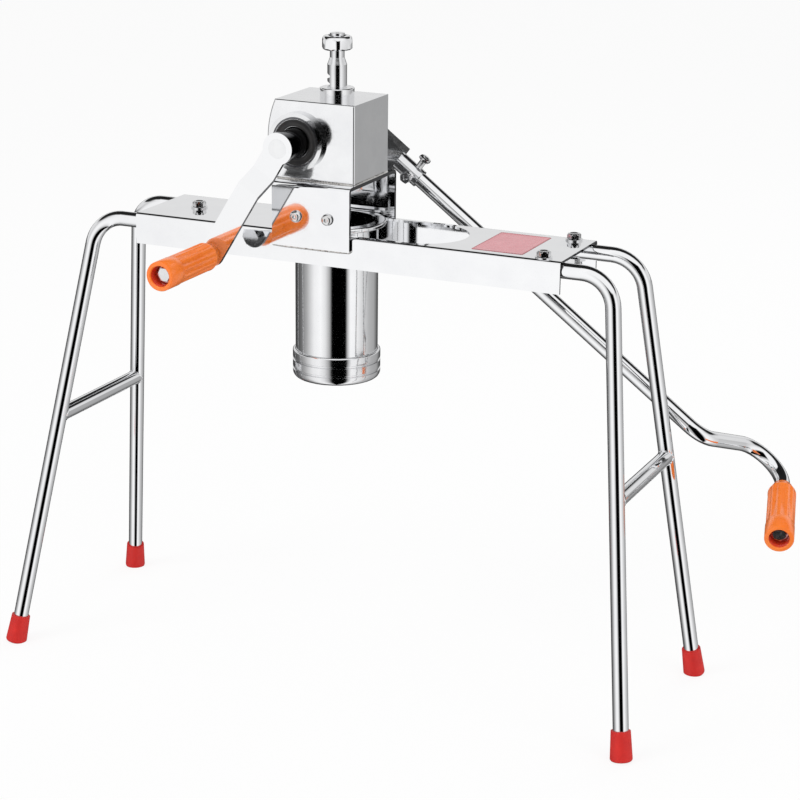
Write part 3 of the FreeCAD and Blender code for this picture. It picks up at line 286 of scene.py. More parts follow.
class Recipe(NodeWriter):
    """Writes the nodes of one material, from the coordinates to the shader."""

    def __init__(self, name: str) -> None:
        """Starts a material.

        Args:
            name: the material's name.
        """
        self.material = bpy.data.materials.new(name)
        self.material.use_nodes = True
        super().__init__(self.material.node_tree)
        self.shader = self.nodes["Principled BSDF"]
        start = self.nodes.new("ShaderNodeTexCoord")
        self.place = start.outputs["Object"]
        self.facing = start.outputs["Normal"]
        self.normal = None

    def measured(self, size: Vector, centre: Vector | None = None) -> Socket:
        """Coordinates counted in steps of a size, from a centre.

        Args:
            size: metres to one step along each axis.
            centre: where the count starts, or None for the origin.

        Returns:
            The vector socket.
        """
        node = self.nodes.new("ShaderNodeMapping")
        node.vector_type = "TEXTURE"
        node.inputs["Scale"].default_value = size
        node.inputs["Location"].default_value = centre or Vector((0, 0, 0))
        self.links.new(self.place, node.inputs["Vector"])
        return node.outputs["Vector"]

    def noise(self, where: Socket, detail: float, rough: float = 0.55) -> Socket:
        """Soft noise over coordinates that are already counted in steps.

        Args:
            where: the coordinates.
            detail: how many finer layers it has.
            rough: how strong the finer layers are.

        Returns:
            The noise, from 0 to 1.
        """
        node = self.nodes.new("ShaderNodeTexNoise")
        node.inputs["Scale"].default_value = 1.0
        node.inputs["Detail"].default_value = detail
        node.inputs["Roughness"].default_value = rough
        self.links.new(where, node.inputs["Vector"])
        return node.outputs["Fac"]

    def cloud(self, step: float, detail: float, rough: float = 0.55) -> Socket:
        """Soft noise of one size in every direction, in millimetres."""
        return self.noise(self.measured(Vector((step, step, step)) * MM), detail, rough)

    def ring_noise(self, where: Socket) -> Socket:
        """Noise that depends on the distance from an axis alone.

        Args:
            where: the coordinates, counted in steps from the axis.

        Returns:
            The noise, from 0 to 1.
        """
        length = self.nodes.new("ShaderNodeVectorMath")
        length.operation = "LENGTH"
        self.links.new(where, length.inputs[0])
        node = self.nodes.new("ShaderNodeTexNoise")
        node.noise_dimensions = "1D"
        node.inputs["Scale"].default_value = 1.0
        node.inputs["Detail"].default_value = 2.0
        self.links.new(length.outputs["Value"], node.inputs["W"])
        return node.outputs["Fac"]

    def between(self, share: Socket, first: Socket | Colour, second: Socket | Colour) -> Socket:
        """A colour that drifts from one tone to another.

        Args:
            share: how much of the second tone there is, from 0 to 1.
            first: the first tone.
            second: the second tone.

        Returns:
            The mixed colour.
        """
        node = self.nodes.new("ShaderNodeMix")
        node.data_type = "RGBA"
        self.links.new(share, node.inputs["Factor"])
        for socket in node.inputs:
            tone = {"A_Color": first, "B_Color": second}.get(socket.identifier)
            if isinstance(tone, tuple):
                tone = (*tone, 1.0)
            if tone is not None:
                self.feed(socket, tone)
        return next(s for s in node.outputs if s.identifier == "Result_Color")

    def paint_tone_by_facing(self, colour: Socket, edge: Colour, axis: Colour, span: Pair) -> Socket:
        """Paints light and shade by facing: the faces that look along an axis take a tone of their
        own.

        Args:
            colour: the tone of the other faces.
            edge: the painted tone of these faces.
            axis: the direction that they look along.
            span: how squarely they have to look along it, from none to all of the tone.

        Returns:
            The mixed colour.
        """
        squarely = self.calc("ABSOLUTE", self.along(self.facing, Vector(axis)))
        return self.between(self.spread(squarely, 0.0, 1.0, *span), colour, edge)

    def emboss(self, height: Socket, depth: float) -> None:
        """Adds one layer of relief.

        Args:
            height: the relief, from 0 to 1.
            depth: its depth in metres.
        """
        node = self.nodes.new("ShaderNodeBump")
        node.inputs["Strength"].default_value = 1.0
        node.inputs["Distance"].default_value = depth
        self.links.new(height, node.inputs["Height"])
        if self.normal is not None:
            self.links.new(self.normal, node.inputs["Normal"])
        self.normal = node.outputs["Normal"]

    def finish(self, colour: Socket, rough: Socket, **constants: float) -> bpy.types.Material:
        """Joins what was made to the shader.

        Args:
            colour: the base colour.
            rough: the roughness.
            constants: other sockets of the shader, by name with underscores, and their numbers.

        Returns:
            The finished material.
        """
        self.links.new(colour, self.shader.inputs["Base Color"])
        self.links.new(rough, self.shader.inputs["Roughness"])
        if self.normal is not None:
            self.links.new(self.normal, self.shader.inputs["Normal"])
        for name, value in constants.items():
            self.shader.inputs[name.replace("_", " ")].default_value = value
        return self.material


@dataclass(frozen=True)
class MetalFinish:
    """A worked metal: its tone, how bright it is polished and which way its marks run.

    Faces that look along one axis take the tone edge, where one is given: painted shade and painted
    highlight by facing.
    """

    name: str
    tone: Colour
    shade: Colour
    rough: Pair
    lines: Lines
    line_width: float = 0.35
    line_depth: float = 0.0006
    line_length: float = 60.0
    sag: float = 0.004
    sag_size: float = 70.0
    patch_size: float = 24.0
    handled_size: float = 6.0
    handled_share: float = 0.55
    centre: Colour = (0.0, 0.0, 0.0)
    edge: Colour | None = None
    painted_tone_axis: Colour = (1.0, 0.0, 0.0)
    painted_tone_span: Pair = (0.75, 0.9)

    def line_size(self) -> Vector:
        """How far a mark of the finish reaches along each axis.

        Returns:
            The reach along X, Y and Z, in metres.
        """
        fine = self.line_width * MM
        long = self.line_length * MM
        endless = 1e6
        return {
            Lines.ALONG_X: Vector((long, fine, fine)),
            Lines.ALONG_Y: Vector((fine, long, fine)),
            Lines.ALONG_Z: Vector((fine, fine, long)),
            Lines.ROUND_Z: Vector((endless, endless, fine)),
            Lines.ROUND_Y: Vector((endless, fine, endless)),
            Lines.FACE_Y: Vector((fine, endless, fine)),
            Lines.FACE_Z: Vector((fine, fine, endless)),
            Lines.EVERY_WAY: Vector((fine, fine, fine)),
        }[self.lines]

    def make(self) -> bpy.types.Material:
        """Writes the metal's nodes.

        Returns:
            The material.
        """
        recipe = Recipe(self.name)
        marks_at = recipe.measured(self.line_size(), Vector(self.centre))
        if self.lines in (Lines.FACE_Y, Lines.FACE_Z):
            marks = recipe.ring_noise(marks_at)
        else:
            marks = recipe.noise(marks_at, 2.0)
        recipe.emboss(recipe.cloud(self.sag_size, 1.0), self.sag * MM)
        recipe.emboss(marks, self.line_depth * MM)
        handled = recipe.spread(recipe.cloud(self.handled_size, 5.0, 0.7), self.handled_share)
        rough = recipe.calc("MULTIPLY", handled, recipe.spread(marks, *self.rough))
        patches = recipe.spread(recipe.cloud(self.patch_size, 4.0, 0.6))
        colour = recipe.between(patches, self.tone, self.shade)
        # Painted light and shade: the faces that look along one axis take the tone edge.
        if self.edge:
            colour = recipe.paint_tone_by_facing(colour, self.edge, self.painted_tone_axis, self.painted_tone_span)
        return recipe.finish(colour, rough, Metallic=1.0)


@dataclass(frozen=True)
class RubberFinish:
    """Moulded rubber with a fine grain."""

    name: str
    tone: Colour
    shade: Colour
    rough: Pair = (0.42, 0.58)
    grain: float = 0.5
    depth: float = 0.012
    drift_size: float = 9.0
    rubbed_size: Colour = (4.0, 4.0, 1.2)
    sheen: float = 0.4

    def make(self) -> bpy.types.Material:
        """Writes the rubber's nodes.

        Returns:
            The material.
        """
        recipe = Recipe(self.name)
        recipe.emboss(recipe.cloud(self.grain, 2.0), self.depth * MM)
        drift = recipe.spread(recipe.cloud(self.drift_size, 4.0, 0.6))
        colour = recipe.between(drift, self.tone, self.shade)
        rubbed = recipe.noise(recipe.measured(Vector(self.rubbed_size) * MM), 4.0, 0.65)
        rough = recipe.spread(rubbed, *self.rough)
        return recipe.finish(colour, rough, Specular_IOR_Level=self.sheen)


@dataclass(frozen=True)
class PlasticFinish:
    """Injection moulded plastic: slightly cloudy colour, soft gloss, faint sink marks."""

    name: str
    tone: Colour
    shade: Colour
    rough: Pair = (0.22, 0.36)
    sink: float = 0.03
    grain: float = 0.004
    coat: float = 0.25
    coat_rough: float = 0.12
    cloud_size: float = 14.0
    sink_size: float = 11.0
    grain_size: float = 0.3
    worn_size: float = 5.0

    def make(self) -> bpy.types.Material:
        """Writes the plastic's nodes.

        Returns:
            The material.
        """
        recipe = Recipe(self.name)
        recipe.emboss(recipe.cloud(self.sink_size, 1.0), self.sink * MM)
        recipe.emboss(recipe.cloud(self.grain_size, 2.0), self.grain * MM)
        cloud = recipe.spread(recipe.cloud(self.cloud_size, 3.0, 0.5))
        colour = recipe.between(cloud, self.tone, self.shade)
        rough = recipe.spread(recipe.cloud(self.worn_size, 5.0, 0.65), *self.rough)
        return recipe.finish(colour, rough, Coat_Weight=self.coat,
                             Coat_Roughness=self.coat_rough)


SHAFT = (-19.5, 0.0, 456.5)


class Finishes:
    """Every finish of the press, made once and handed out by name."""

    def __init__(self, place: MachinePlace) -> None:
        """Makes the materials.

        Args:
            place: turns places on the machine into the frame.
        """
        shaft = tuple(place.at(*SHAFT))
        rod = tuple(place.at(0, 0, 0))
        bright, dull = (0.90, 0.905, 0.915), (0.86, 0.865, 0.88)
        self.made = {finish.name: finish.make() for finish in (
            # The faces that look along the beam are painted near black: a painted dark reflection.
            MetalFinish("polished_sheet", bright, dull, (0.03, 0.09), Lines.ALONG_X,
                        edge=(0.07, 0.07, 0.075)),
            # The crank arm's narrow sides are painted near black, a painted dark reflection; its
            # front and back faces take the bright tone.
            MetalFinish("polished_bar", (0.1, 0.1, 0.105), (0.05, 0.05, 0.055), (0.03, 0.1),
                        Lines.ALONG_Z, sag=0.003, edge=bright, painted_tone_axis=(0, 1, 0),
                        painted_tone_span=(0.25, 0.6)),
            MetalFinish("polished_tube", bright, dull, (0.03, 0.08), Lines.ALONG_Z, sag=0.0005),
            MetalFinish("polished_brace", bright, dull, (0.03, 0.08), Lines.ALONG_Y, sag=0.0005),
            MetalFinish("turned_mirror", bright, dull, (0.06, 0.15), Lines.ROUND_Z, 0.5, 0.0004,
                        sag=0.0005),
            MetalFinish("turned_edge", (0.86, 0.86, 0.87), (0.78, 0.785, 0.8), (0.06, 0.2),
                        Lines.ROUND_Z, 0.4, 0.0012, sag=0.0005),
            MetalFinish("satin_casing", (0.88, 0.885, 0.895), (0.82, 0.825, 0.84), (0.07, 0.17),
                        Lines.ALONG_X, 0.3, 0.0007, sag=0.003),
            MetalFinish("bearing_face", (0.84, 0.845, 0.85), (0.76, 0.765, 0.78), (0.06, 0.2),
                        Lines.FACE_Y, 0.45, 0.0012, sag=0.0005, centre=shaft),
            MetalFinish("ground_shaft", (0.88, 0.885, 0.89), (0.8, 0.805, 0.82), (0.05, 0.14),
                        Lines.ROUND_Y, 0.35, 0.0006, sag=0.0005),
            MetalFinish("milled_rod", (0.86, 0.865, 0.875), (0.76, 0.765, 0.78), (0.06, 0.2),
                        Lines.ALONG_Z, 0.3, 0.0012, sag=0.0005),
            MetalFinish("forged_hub", (0.84, 0.845, 0.855), (0.72, 0.725, 0.74), (0.08, 0.2),
                        Lines.EVERY_WAY, 0.5, 0.0012, sag=0.002),
            MetalFinish("plated_screw", (0.82, 0.825, 0.84), (0.7, 0.7, 0.7), (0.1, 0.26),
                        Lines.EVERY_WAY, 0.4, 0.0016, sag=0.001, sag_size=9.0),
            MetalFinish("polished_bolt", bright, dull, (0.04, 0.12), Lines.EVERY_WAY, 0.5, 0.0006,
                        sag=0.001, sag_size=12.0),
            MetalFinish("weld_metal", (0.7, 0.69, 0.67), (0.5, 0.48, 0.46), (0.18, 0.4),
                        Lines.EVERY_WAY, 0.7, 0.02, sag=0.05, sag_size=3.0),
            MetalFinish("spring_steel", (0.2, 0.2, 0.21), (0.12, 0.12, 0.13), (0.2, 0.4),
                        Lines.EVERY_WAY, 0.4, 0.001),
            MetalFinish("die_brass", (0.80, 0.60, 0.30), (0.68, 0.48, 0.22), (0.12, 0.3),
                        Lines.FACE_Z, 0.5, 0.0015, sag=0.0005, centre=rod),
            RubberFinish("red_boot_rubber", (0.68, 0.018, 0.012), (0.56, 0.012, 0.01)),
            RubberFinish("seal_silicone", (0.72, 0.71, 0.67), (0.62, 0.6, 0.56), (0.5, 0.65)),
            RubberFinish("dust_seal_rubber", (0.02, 0.02, 0.022), (0.035, 0.033, 0.032)),
            PlasticFinish("orange_grip_plastic", (1.0, 0.235, 0.03), (0.95, 0.195, 0.02)),
            # Darker red inside the grips' mouths: painted shade in the recess.
            PlasticFinish("grip_mouth_painted_shade", (0.82, 0.07, 0.02), (0.7, 0.045, 0.014)),
            PlasticFinish("white_piston_plastic", (0.82, 0.82, 0.79), (0.76, 0.75, 0.71),
                          (0.35, 0.5), coat=0.0),
            PlasticFinish("label_film", (0.66, 0.2, 0.23), (0.6, 0.16, 0.19), (0.16, 0.28),
                          sink=0.01, grain=0.001, coat=0.3),
            PlasticFinish("label_rim", (0.42, 0.05, 0.07), (0.36, 0.04, 0.055), (0.2, 0.32),
                          sink=0.01, grain=0.001, coat=0.2),
        )}

    def __getitem__(self, name: str) -> bpy.types.Material:
        """The material of one finish."""
        return self.made[name]


def finish_of(node: str) -> str:
    """Chooses the finish that a solid of the frame takes.

    Args:
        node: the solid's name.

    Returns:
        The finish's name.
    """
    whole = {
        "beam_channel": "polished_sheet", "yoke_bracket": "polished_sheet",
        "barrel": "turned_mirror", "barrel_cap": "turned_edge", "die_plate": "die_brass",
        "gearbox_housing": "satin_casing", "front_bearing": "bearing_face",
        "rear_bearing": "bearing_face", "top_guide_bush": "turned_edge",
        "crank_shaft": "ground_shaft", "pinion_gear": "ground_shaft", "rack_rod": "milled_rod",
        "rear_crank_hub": "forged_hub", "rod_socket": "forged_hub", "leg_clamp_bar": "forged_hub",
        "front_crank_arm": "polished_bar", "long_crank_rod": "polished_tube",
        "piston_disc": "white_piston_plastic", "piston_seal": "seal_silicone",
        "barrel_keeper_front": "satin_casing", "barrel_keeper_back": "satin_casing",
    }
    if node in whole:
        return whole[node]
    for word, name in (("foot_cap", "red_boot_rubber"), ("cross_brace", "polished_brace"),
                       ("leg_", "polished_tube"), ("grip_bolt", "plated_screw"),
                       ("grip_nut", "plated_screw"), ("grip", "orange_grip_plastic")):
        if word in node:
            return name
    return "plated_screw"


@dataclass(frozen=True)
class Ring:
    """One ring of a built-up piece: its radius, its height and its outline."""

    radius: float
    height: float
    outline: Outline = Outline.ROUND

    def reach(self, angle: float) -> float:
        """How far the ring's edge lies from its middle.

        Args:
            angle: the angle round the ring, in radians.

        Returns:
            The distance in millimetres.
        """
        if self.outline is Outline.ROUND:
            return self.radius
        if self.outline is Outline.RIBBED:
            valley = 0.5 + 0.5 * math.cos(FLUTES * angle)
            return self.radius - FLUTE_DEPTH * valley ** FLUTE_SHARPNESS
        if self.outline is Outline.SOFT_HEX:
            corner = Ring(self.radius, 0.0, Outline.HEX).reach(angle + math.pi / 6)
            return min(self.radius * CORNER_LIMIT, corner)
        return self.radius / math.cos((angle + math.pi / 6) % (math.pi / 3) - math.pi / 6)


def circle(steps: int) -> list[float]:
    """The angles of points spread evenly round a circle."""
    return [2 * math.pi * i / steps for i in range(steps)]


def around(reach: float, angle: float, height: float) -> Vector:
    """A point in metres, from its millimetres out of and along the piece's Z."""
    far = reach * MM
    return Vector((far * math.cos(angle), far * math.sin(angle), height * MM))


def steps_between(start: Vector, end: Vector, count: int) -> list[Vector]:
    """Evenly spaced points from one place to another."""
    return [start.lerp(end, k / count) for k in range(count + 1)]


def seed_of(text: str) -> int:
    """A seed that is the same on each run."""
    return sum((i + 1) * ord(letter) for i, letter in enumerate(text))


def skin(mesh: bmesh.types.BMesh, rows: list[Row], closed: bool = False) -> None:
    """Bridges each row of points with the next.

    Args:
        mesh: the mesh that holds the points.
        rows: the rows, all of one length.
        closed: True where the last row joins the first.
    """
    following = rows[1:] + rows[:1] if closed else rows[1:]
    for first, second in zip(rows, following):
        for i in range(len(first)):
            j = (i + 1) % len(first)
            mesh.faces.new((first[i], first[j], second[j], second[i]))


def fill_ends(mesh: bmesh.types.BMesh, rows: list[Row]) -> None:
    """Closes the first and the last row with a face each."""
    mesh.faces.new(list(reversed(rows[0])))
    mesh.faces.new(rows[-1])


class Workshop:
    """Builds the small pieces' meshes, dresses them and sets them on their bodies."""

    def __init__(self, finishes: Finishes) -> None:
        """Keeps the finishes at hand."""
        self.finishes = finishes

    def deliver(self, name: str, mesh: bmesh.types.BMesh, finish: str, body: str,
                slot: str | None = None) -> bpy.types.Object:
        """Turns a drawn mesh into a dressed piece that moves with a body.

        Args:
            name: the piece's name.
            mesh: its mesh, which is freed.
            finish: the finish's name.
            body: the body of the frame that carries it.
            slot: the material slot of the record that it belongs to; not used.

        Returns:
            The new object.
        """
        bmesh.ops.recalc_face_normals(mesh, faces=mesh.faces)
        data = bpy.data.meshes.new(name)
        for face in mesh.faces:
            face.smooth = True
        for edge in mesh.edges:
            if len(edge.link_faces) == 2:
                edge.smooth = edge.calc_face_angle(0.0) < SHARP_EDGE
        mesh.to_mesh(data)
        mesh.free()
        made = bpy.data.objects.new(name, data)
        bpy.context.scene.collection.objects.link(made)
        data.materials.append(self.finishes[finish])
        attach(made, body)
        LOG.info("%s: %d faces, %s, on %s", name, len(data.polygons), finish, body)
        return made

    @staticmethod
    def rows_of(rings: list[Ring], stand: Matrix, steps: int, mesh: bmesh.types.BMesh
                ) -> list[Row]:
        """Sets out the points of some rings.

        Args:
            rings: the rings.
            stand: where the piece stands.
            steps: points to a ring.
            mesh: the mesh that takes the points.

        Returns:
            One row of points to each ring.
        """
        return [[mesh.verts.new(stand @ around(ring.reach(angle), angle, ring.height))
                 for angle in circle(steps)] for ring in rings]

    def ringed(self, rings: list[Ring], stand: Matrix, steps: int = 48,
               mesh: bmesh.types.BMesh | None = None) -> bmesh.types.BMesh:
        """Bridges a stack of rings into a closed skin.

        Args:
            rings: the rings, from the first end to the last, which are both filled.
            stand: where the piece stands.
            steps: points to a ring.
            mesh: a mesh to add to, or None for a new one.

        Returns:
            The mesh.
        """
        mesh = mesh or bmesh.new()
        rows = self.rows_of(rings, stand, steps, mesh)
        skin(mesh, rows)
        fill_ends(mesh, rows)
        return mesh

    def hollow(self, rings: list[Ring], stand: Matrix, steps: int = 48,
               mesh: bmesh.types.BMesh | None = None) -> bmesh.types.BMesh:
        """Bridges a loop of rings, back to the first, into a ring-shaped skin.

        Args:
            rings: the rings, once round the section.
            stand: where the piece stands.
            steps: points to a ring.
            mesh: a mesh to add to, or None for a new one.

        Returns:
            The mesh.
        """
        mesh = mesh or bmesh.new()
        skin(mesh, self.rows_of(rings, stand, steps, mesh), True)
        return mesh

    @staticmethod
    def thread(radius: float, pitch: float, start: float, end: float, stand: Matrix,
               mesh: bmesh.types.BMesh, steps: int = 20) -> None:
        """Adds a screw thread, as a skin whose radius climbs and falls along a helix.

        Args:
            radius: the outside radius in millimetres.
            pitch: millimetres to a turn.
            start: where it starts along the piece's Z.
            end: where it ends.
            stand: where the piece stands.
            mesh: the mesh to add to.
            steps: points to a turn.
        """
        depth = pitch * THREAD_DEPTH
        rows = []
        count = max(4, int((end - start) / pitch * 6))
        for k in range(count + 1):
            height = start + (end - start) * k / count
            fade = min(1.0, 3 * min(k, count - k) / count + 0.2)
            row = []
            for i, angle in enumerate(circle(steps)):
                crest = 1 - abs(2 * ((height / pitch - i / steps) % 1.0) - 1)
                reach = radius - depth * (1 - crest) * fade
                row.append(mesh.verts.new(stand @ around(reach, angle, height)))
            rows.append(row)
        skin(mesh, rows)
        fill_ends(mesh, rows)

    @staticmethod
    def bead(path: list[Vector], radius: float, pitch: float, closed: bool, seed: int,
             mesh: bmesh.types.BMesh, sides: int = 10) -> None:
        """Adds a weld bead along a path, with the ripples of each dab.

        Args:
            path: the middle of the bead, in metres.
            radius: its radius in millimetres.
            pitch: millimetres from one ripple to the next.
            closed: True where the bead meets itself.
            seed: sets its unevenness.
            mesh: the mesh to add to.
            sides: points round the bead.
        """
        chance = random.Random(seed)
        rows = []
        gone = 0.0
        count = len(path)
        for k, spot in enumerate(path):
            before = path[(k - 1) % count] if closed or k else spot
            after = path[(k + 1) % count] if closed or k < count - 1 else spot
            run = (after - before).normalized()
            gone += (spot - path[k - 1]).length if k else 0.0
            side = run.cross(ACROSS_BEADS).normalized()
            rise = side.cross(run)
            dab = abs(math.sin(math.pi * gone / (pitch * MM)))
            ripple = 1 - BEAD_RIPPLE + BEAD_RIPPLE * dab
            end = 1.0
            if not closed:
                short = 1 - min(1.0, 6 * min(k, count - 1 - k) / count)
                end = math.sqrt(max(0.08, 1 - short ** 2))
            size = radius * MM * ripple * end * chance.uniform(*BEAD_UNEVEN)
            rows.append([mesh.verts.new(
                spot + side * math.cos(angle) * size + rise * math.sin(angle) * size)
                for angle in circle(sides)])
        skin(mesh, rows, closed)
        if not closed:
            fill_ends(mesh, rows)


@dataclass
class Dressing:
    """A group of small pieces, with the machine's place and the workshop that makes them."""

    place: MachinePlace
    shop: Workshop


@dataclass
class BareLabel(Dressing):
    """The plain film on the beam's top, with a darker rim and no print."""

    left: float = 134.0
    right: float = 178.0
    half: float = 32.0
    top: float = 384.0
    corner: float = 1.6
    film: tuple[Pair, ...] = (
        (0.0, 0.02), (0.0, 0.112), (0.25, 0.16), (2.2, 0.16), (2.4, 0.128), (6.0, 0.144))
    rim: tuple[Pair, ...] = ((0.05, 0.17), (0.05, 0.2), (1.15, 0.2), (1.15, 0.17))

    def outline(self, inset: float) -> list[Pair]:
        """The film's edge, with small round corners.

        Args:
            inset: how far the edge is drawn in, in millimetres.

        Returns:
            The places along the beam and across it.
        """
        points = []
        left, right = self.left + inset, self.right - inset
        half, corner = self.half - inset, max(self.corner - inset, 0.3)
        for x, y, start in ((right, half, 0), (left, half, 90), (left, -half, 180),
                            (right, -half, 270)):
            middle = (x - math.copysign(corner, x - (left + right) / 2),
                      y - math.copysign(corner, y))
            for k in range(5):
                angle = math.radians(start + 90 * k / 4)
                points.append((middle[0] + corner * math.cos(angle),
                               middle[1] + corner * math.sin(angle)))
        return points

    def rows(self, mesh: bmesh.types.BMesh, steps: tuple[Pair, ...]) -> list[Row]:
        """Sets out the edge at several heights.

        Args:
            mesh: the mesh that takes the points.
            steps: how far each edge is drawn in, and its height above the beam.

        Returns:
            One row of points to each step.
        """
        return [[mesh.verts.new(self.place.at(x, y, self.top + height))
                 for x, y in self.outline(inset)] for inset, height in steps]

    def build(self) -> None:
        """Lays the film and its rim on the beam."""
        mesh = bmesh.new()
        rows = self.rows(mesh, self.film)
        skin(mesh, rows)
        mesh.faces.new(rows[-1])
        self.shop.deliver("bare_label_film", mesh, "label_film", "frame")
        mesh = bmesh.new()
        skin(mesh, self.rows(mesh, self.rim), True)
        self.shop.deliver("bare_label_rim", mesh, "label_rim", "frame")


@dataclass
class Welds(Dressing):
    """The weld beads of the braces, the gear housing and the yoke."""

    nodes: dict[str, bpy.types.Object]
    tube_radius: float = 6.35
    housing_left: float = 39.0
    housing_right: float = 31.3
    housing_half: float = 32.5
    housing_gap: float = 0.2
    seam_height: float = 425.0
    cheek_half: float = 45.0
    cheek_low: float = 372.0
    cheek_left: float = -37.0
    cheek_right: float = 33.0
    brace_size: Pair = (0.85, 1.7)
    seam_size: Pair = (1.0, 1.7)
    side_size: Pair = (0.8, 1.7)
    tack_size: Pair = (1.5, 2.4)
    tack_inward: float = 7.0
    cheek_size: Pair = (1.45, 2.2)

    def brace_loop(self, side: str, row: str) -> list[Vector]:
        """Follows the joint of a brace and a leg, where the brace's skin meets the tube.

        Args:
            side: left or right.
            row: front or back.

        Returns:
            The points of the joint.
        """
        low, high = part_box(f"cross_brace_{side}")
        leg = self.nodes[f"leg_{row}_{side}"]
        tree = BVHTree.FromObject(leg, bpy.context.evaluated_depsgraph_get())
        middle = (low + high) / 2
        way = Vector((0, -1 if row == "front" else 1, 0))
        reach = self.tube_radius * MM * 0.985
        points = []
        for angle in circle(60):
            start = middle + Vector((math.cos(angle), 0, math.sin(angle))) * reach
            hit = tree.ray_cast(start, way)[0]
            if hit is not None:
                points.append(hit)
        return points

    def lay(self, mesh: bmesh.types.BMesh, start: Colour, end: Colour, steps: int, size: Pair,
            seed: int) -> None:
        """Lays one straight bead.

        Args:
            mesh: the mesh that it joins.
            start: where it starts, in millimetres on the machine.
            end: where it ends.
            steps: how many steps it has.
            size: its radius, and the distance of its ripples.
            seed: sets its unevenness.
        """
        path = steps_between(self.place.at(*start), self.place.at(*end), steps)
        self.shop.bead(path, *size, False, seed, mesh)

    def build_brace_beads(self) -> None:
        """Lays a bead round each end of both braces."""
        for side in ("left", "right"):
            for row in ("front", "back"):
                mesh = bmesh.new()
                self.shop.bead(self.brace_loop(side, row), *self.brace_size, True,
                               seed_of(side + row), mesh)
                self.shop.deliver(f"weld_brace_{row}_{side}", mesh, "polished_brace", "frame",
                                  "polished_steel")

    def build_seam(self) -> None:
        """Lays the seam under the housing's front, back and right side."""
        mesh = bmesh.new()
        high = self.seam_height
        for seed, way in enumerate((-1, 1)):
            y = way * (self.housing_half + self.housing_gap)
            self.lay(mesh, (-self.housing_left, y, high), (self.housing_right - 1, y, high), 150,
                     self.seam_size, seed)
        x = self.housing_right + self.housing_gap
        self.lay(mesh, (x, -self.housing_half + 1, high), (x, self.housing_half - 1, high), 130,
                 self.side_size, 7)
        self.shop.deliver("weld_housing_seam", mesh, "weld_metal", "frame", "brushed_steel")

    def build_tacks(self) -> None:
        """Lays the tacks at the cheeks' corners and the bead under each cheek."""
        mesh = bmesh.new()
        low, left, right = self.cheek_low, self.cheek_left, self.cheek_right
        for i, way in enumerate((-1, 1)):
            y = way * (self.cheek_half - 1.6)
            for x, inner in ((right, -self.tack_inward), (left, self.tack_inward)):
                self.lay(mesh, (x + inner, y, low - 0.1),
                         (x + math.copysign(0.6, x), y, low + 0.2), 26, self.tack_size, 20 + i)
        for i, way in enumerate((-1, 1)):
            y = way * (self.cheek_half - 1.9)
            self.lay(mesh, (left + 0.5, y, low - 0.5), (right - 0.5, y, low - 0.5), 150,
                     self.cheek_size, 40 + i)
        self.shop.deliver("weld_yoke_tacks", mesh, "weld_metal", "frame", "brushed_steel")

    def build(self) -> None:
        """Lays every bead."""
        self.build_brace_beads()
        self.build_seam()
        self.build_tacks()


@dataclass
class YokeScrews(Dressing):
    """The four socket screws of the yoke, with domed heads."""

    across: tuple[float, float] = (-15.0, 13.5)
    height: float = 397.5
    cheek: float = 45.0
    head_radius: float = 5.0
    head: float = 3.6
    shank_radius: float = 2.5
    shank: float = 9.6
    pitch: float = 0.8
    socket: float = 1.5
    flat_share: float = 0.52

    def head_rings(self) -> list[Ring]:
        """The head, from the shank over the dome down into the socket.

        Returns:
            The rings in order.
        """
        edge, top, socket = self.head_radius, self.head, self.socket
        rings = [Ring(self.shank_radius, 0.0), Ring(edge * 0.9, 0.0), Ring(edge, 0.25)]
        for k in range(1, 7):
            bow = math.radians(90 * k / 7)
            share = self.flat_share + (1 - self.flat_share) * math.cos(bow)
            rings.append(Ring(edge * share, 0.25 + (top - 0.25) * math.sin(bow)))
        return rings + [
            Ring(socket + 0.45, top), Ring(socket + 0.1, top - 0.1),
            Ring(socket, top - 0.3, Outline.HEX), Ring(socket, top - 2.0, Outline.HEX),
            Ring(socket * 0.4, top - 2.3),
        ]

    def build(self) -> None:
        """Makes the four screws and lets them stand for the plain ones."""
        mesh = bmesh.new()
        for way in (-1, 1):
            y = way * self.cheek
            for x in self.across:
                outward = self.place.stand(x, y, self.height, Vector((0, way, 0)))
                self.shop.ringed(self.head_rings(), outward, 48, mesh)
                inward = self.place.stand(x, y, self.height, Vector((0, -way, 0)))
                self.shop.thread(self.shank_radius, self.pitch, -0.01, self.shank, inward, mesh)
        made = self.shop.deliver("yoke_socket_screws", mesh, "plated_screw", "frame",
                                 "plated_fasteners")
        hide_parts("yoke_bolts")


@dataclass
class BeamScrews(Dressing):
    """The screws on the beam's top: chamfered hexagon heads with a dished face."""

    spots: tuple[tuple[float, float, float], ...] = (
        (196.5, -33.65, 361.3), (196.5, 33.65, 361.3), (-130.0, 0.0, 358.3))
    flats: float = 10.0
    seat: float = 385.2
    head: float = 4.5
    shank_radius: float = 3.0
    plain: float = 12.0
    pitch: float = 1.0

    def build(self) -> None:
        """Makes the three screws and lets them stand for the plain ones."""
        mesh = bmesh.new()
        flat, head, shank = self.flats / 2, self.head, self.shank_radius
        for x, y, low in self.spots:
            self.shop.ringed([
                Ring(shank, 0.0), Ring(flat * 0.96, 0.0), Ring(flat, 0.3, Outline.HEX),
                Ring(flat, head - 0.9, Outline.HEX), Ring(flat, head - 0.25),
                Ring(flat * 0.86, head), Ring(flat * 0.7, head), Ring(flat * 0.6, head - 0.35),
                Ring(0.4, head - 0.45),
            ], self.place.stand(x, y, self.seat, UP), 48, mesh)
            down = self.place.stand(x, y, self.seat, -UP)
            self.shop.ringed([Ring(shank, -0.01), Ring(shank, self.plain)], down, 24, mesh)
            self.shop.thread(shank, self.pitch, self.plain, self.seat - low, down, mesh)
        made = self.shop.deliver("beam_hex_screws", mesh, "plated_screw", "frame",
                                 "plated_fasteners")
        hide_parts("beam_bolts")


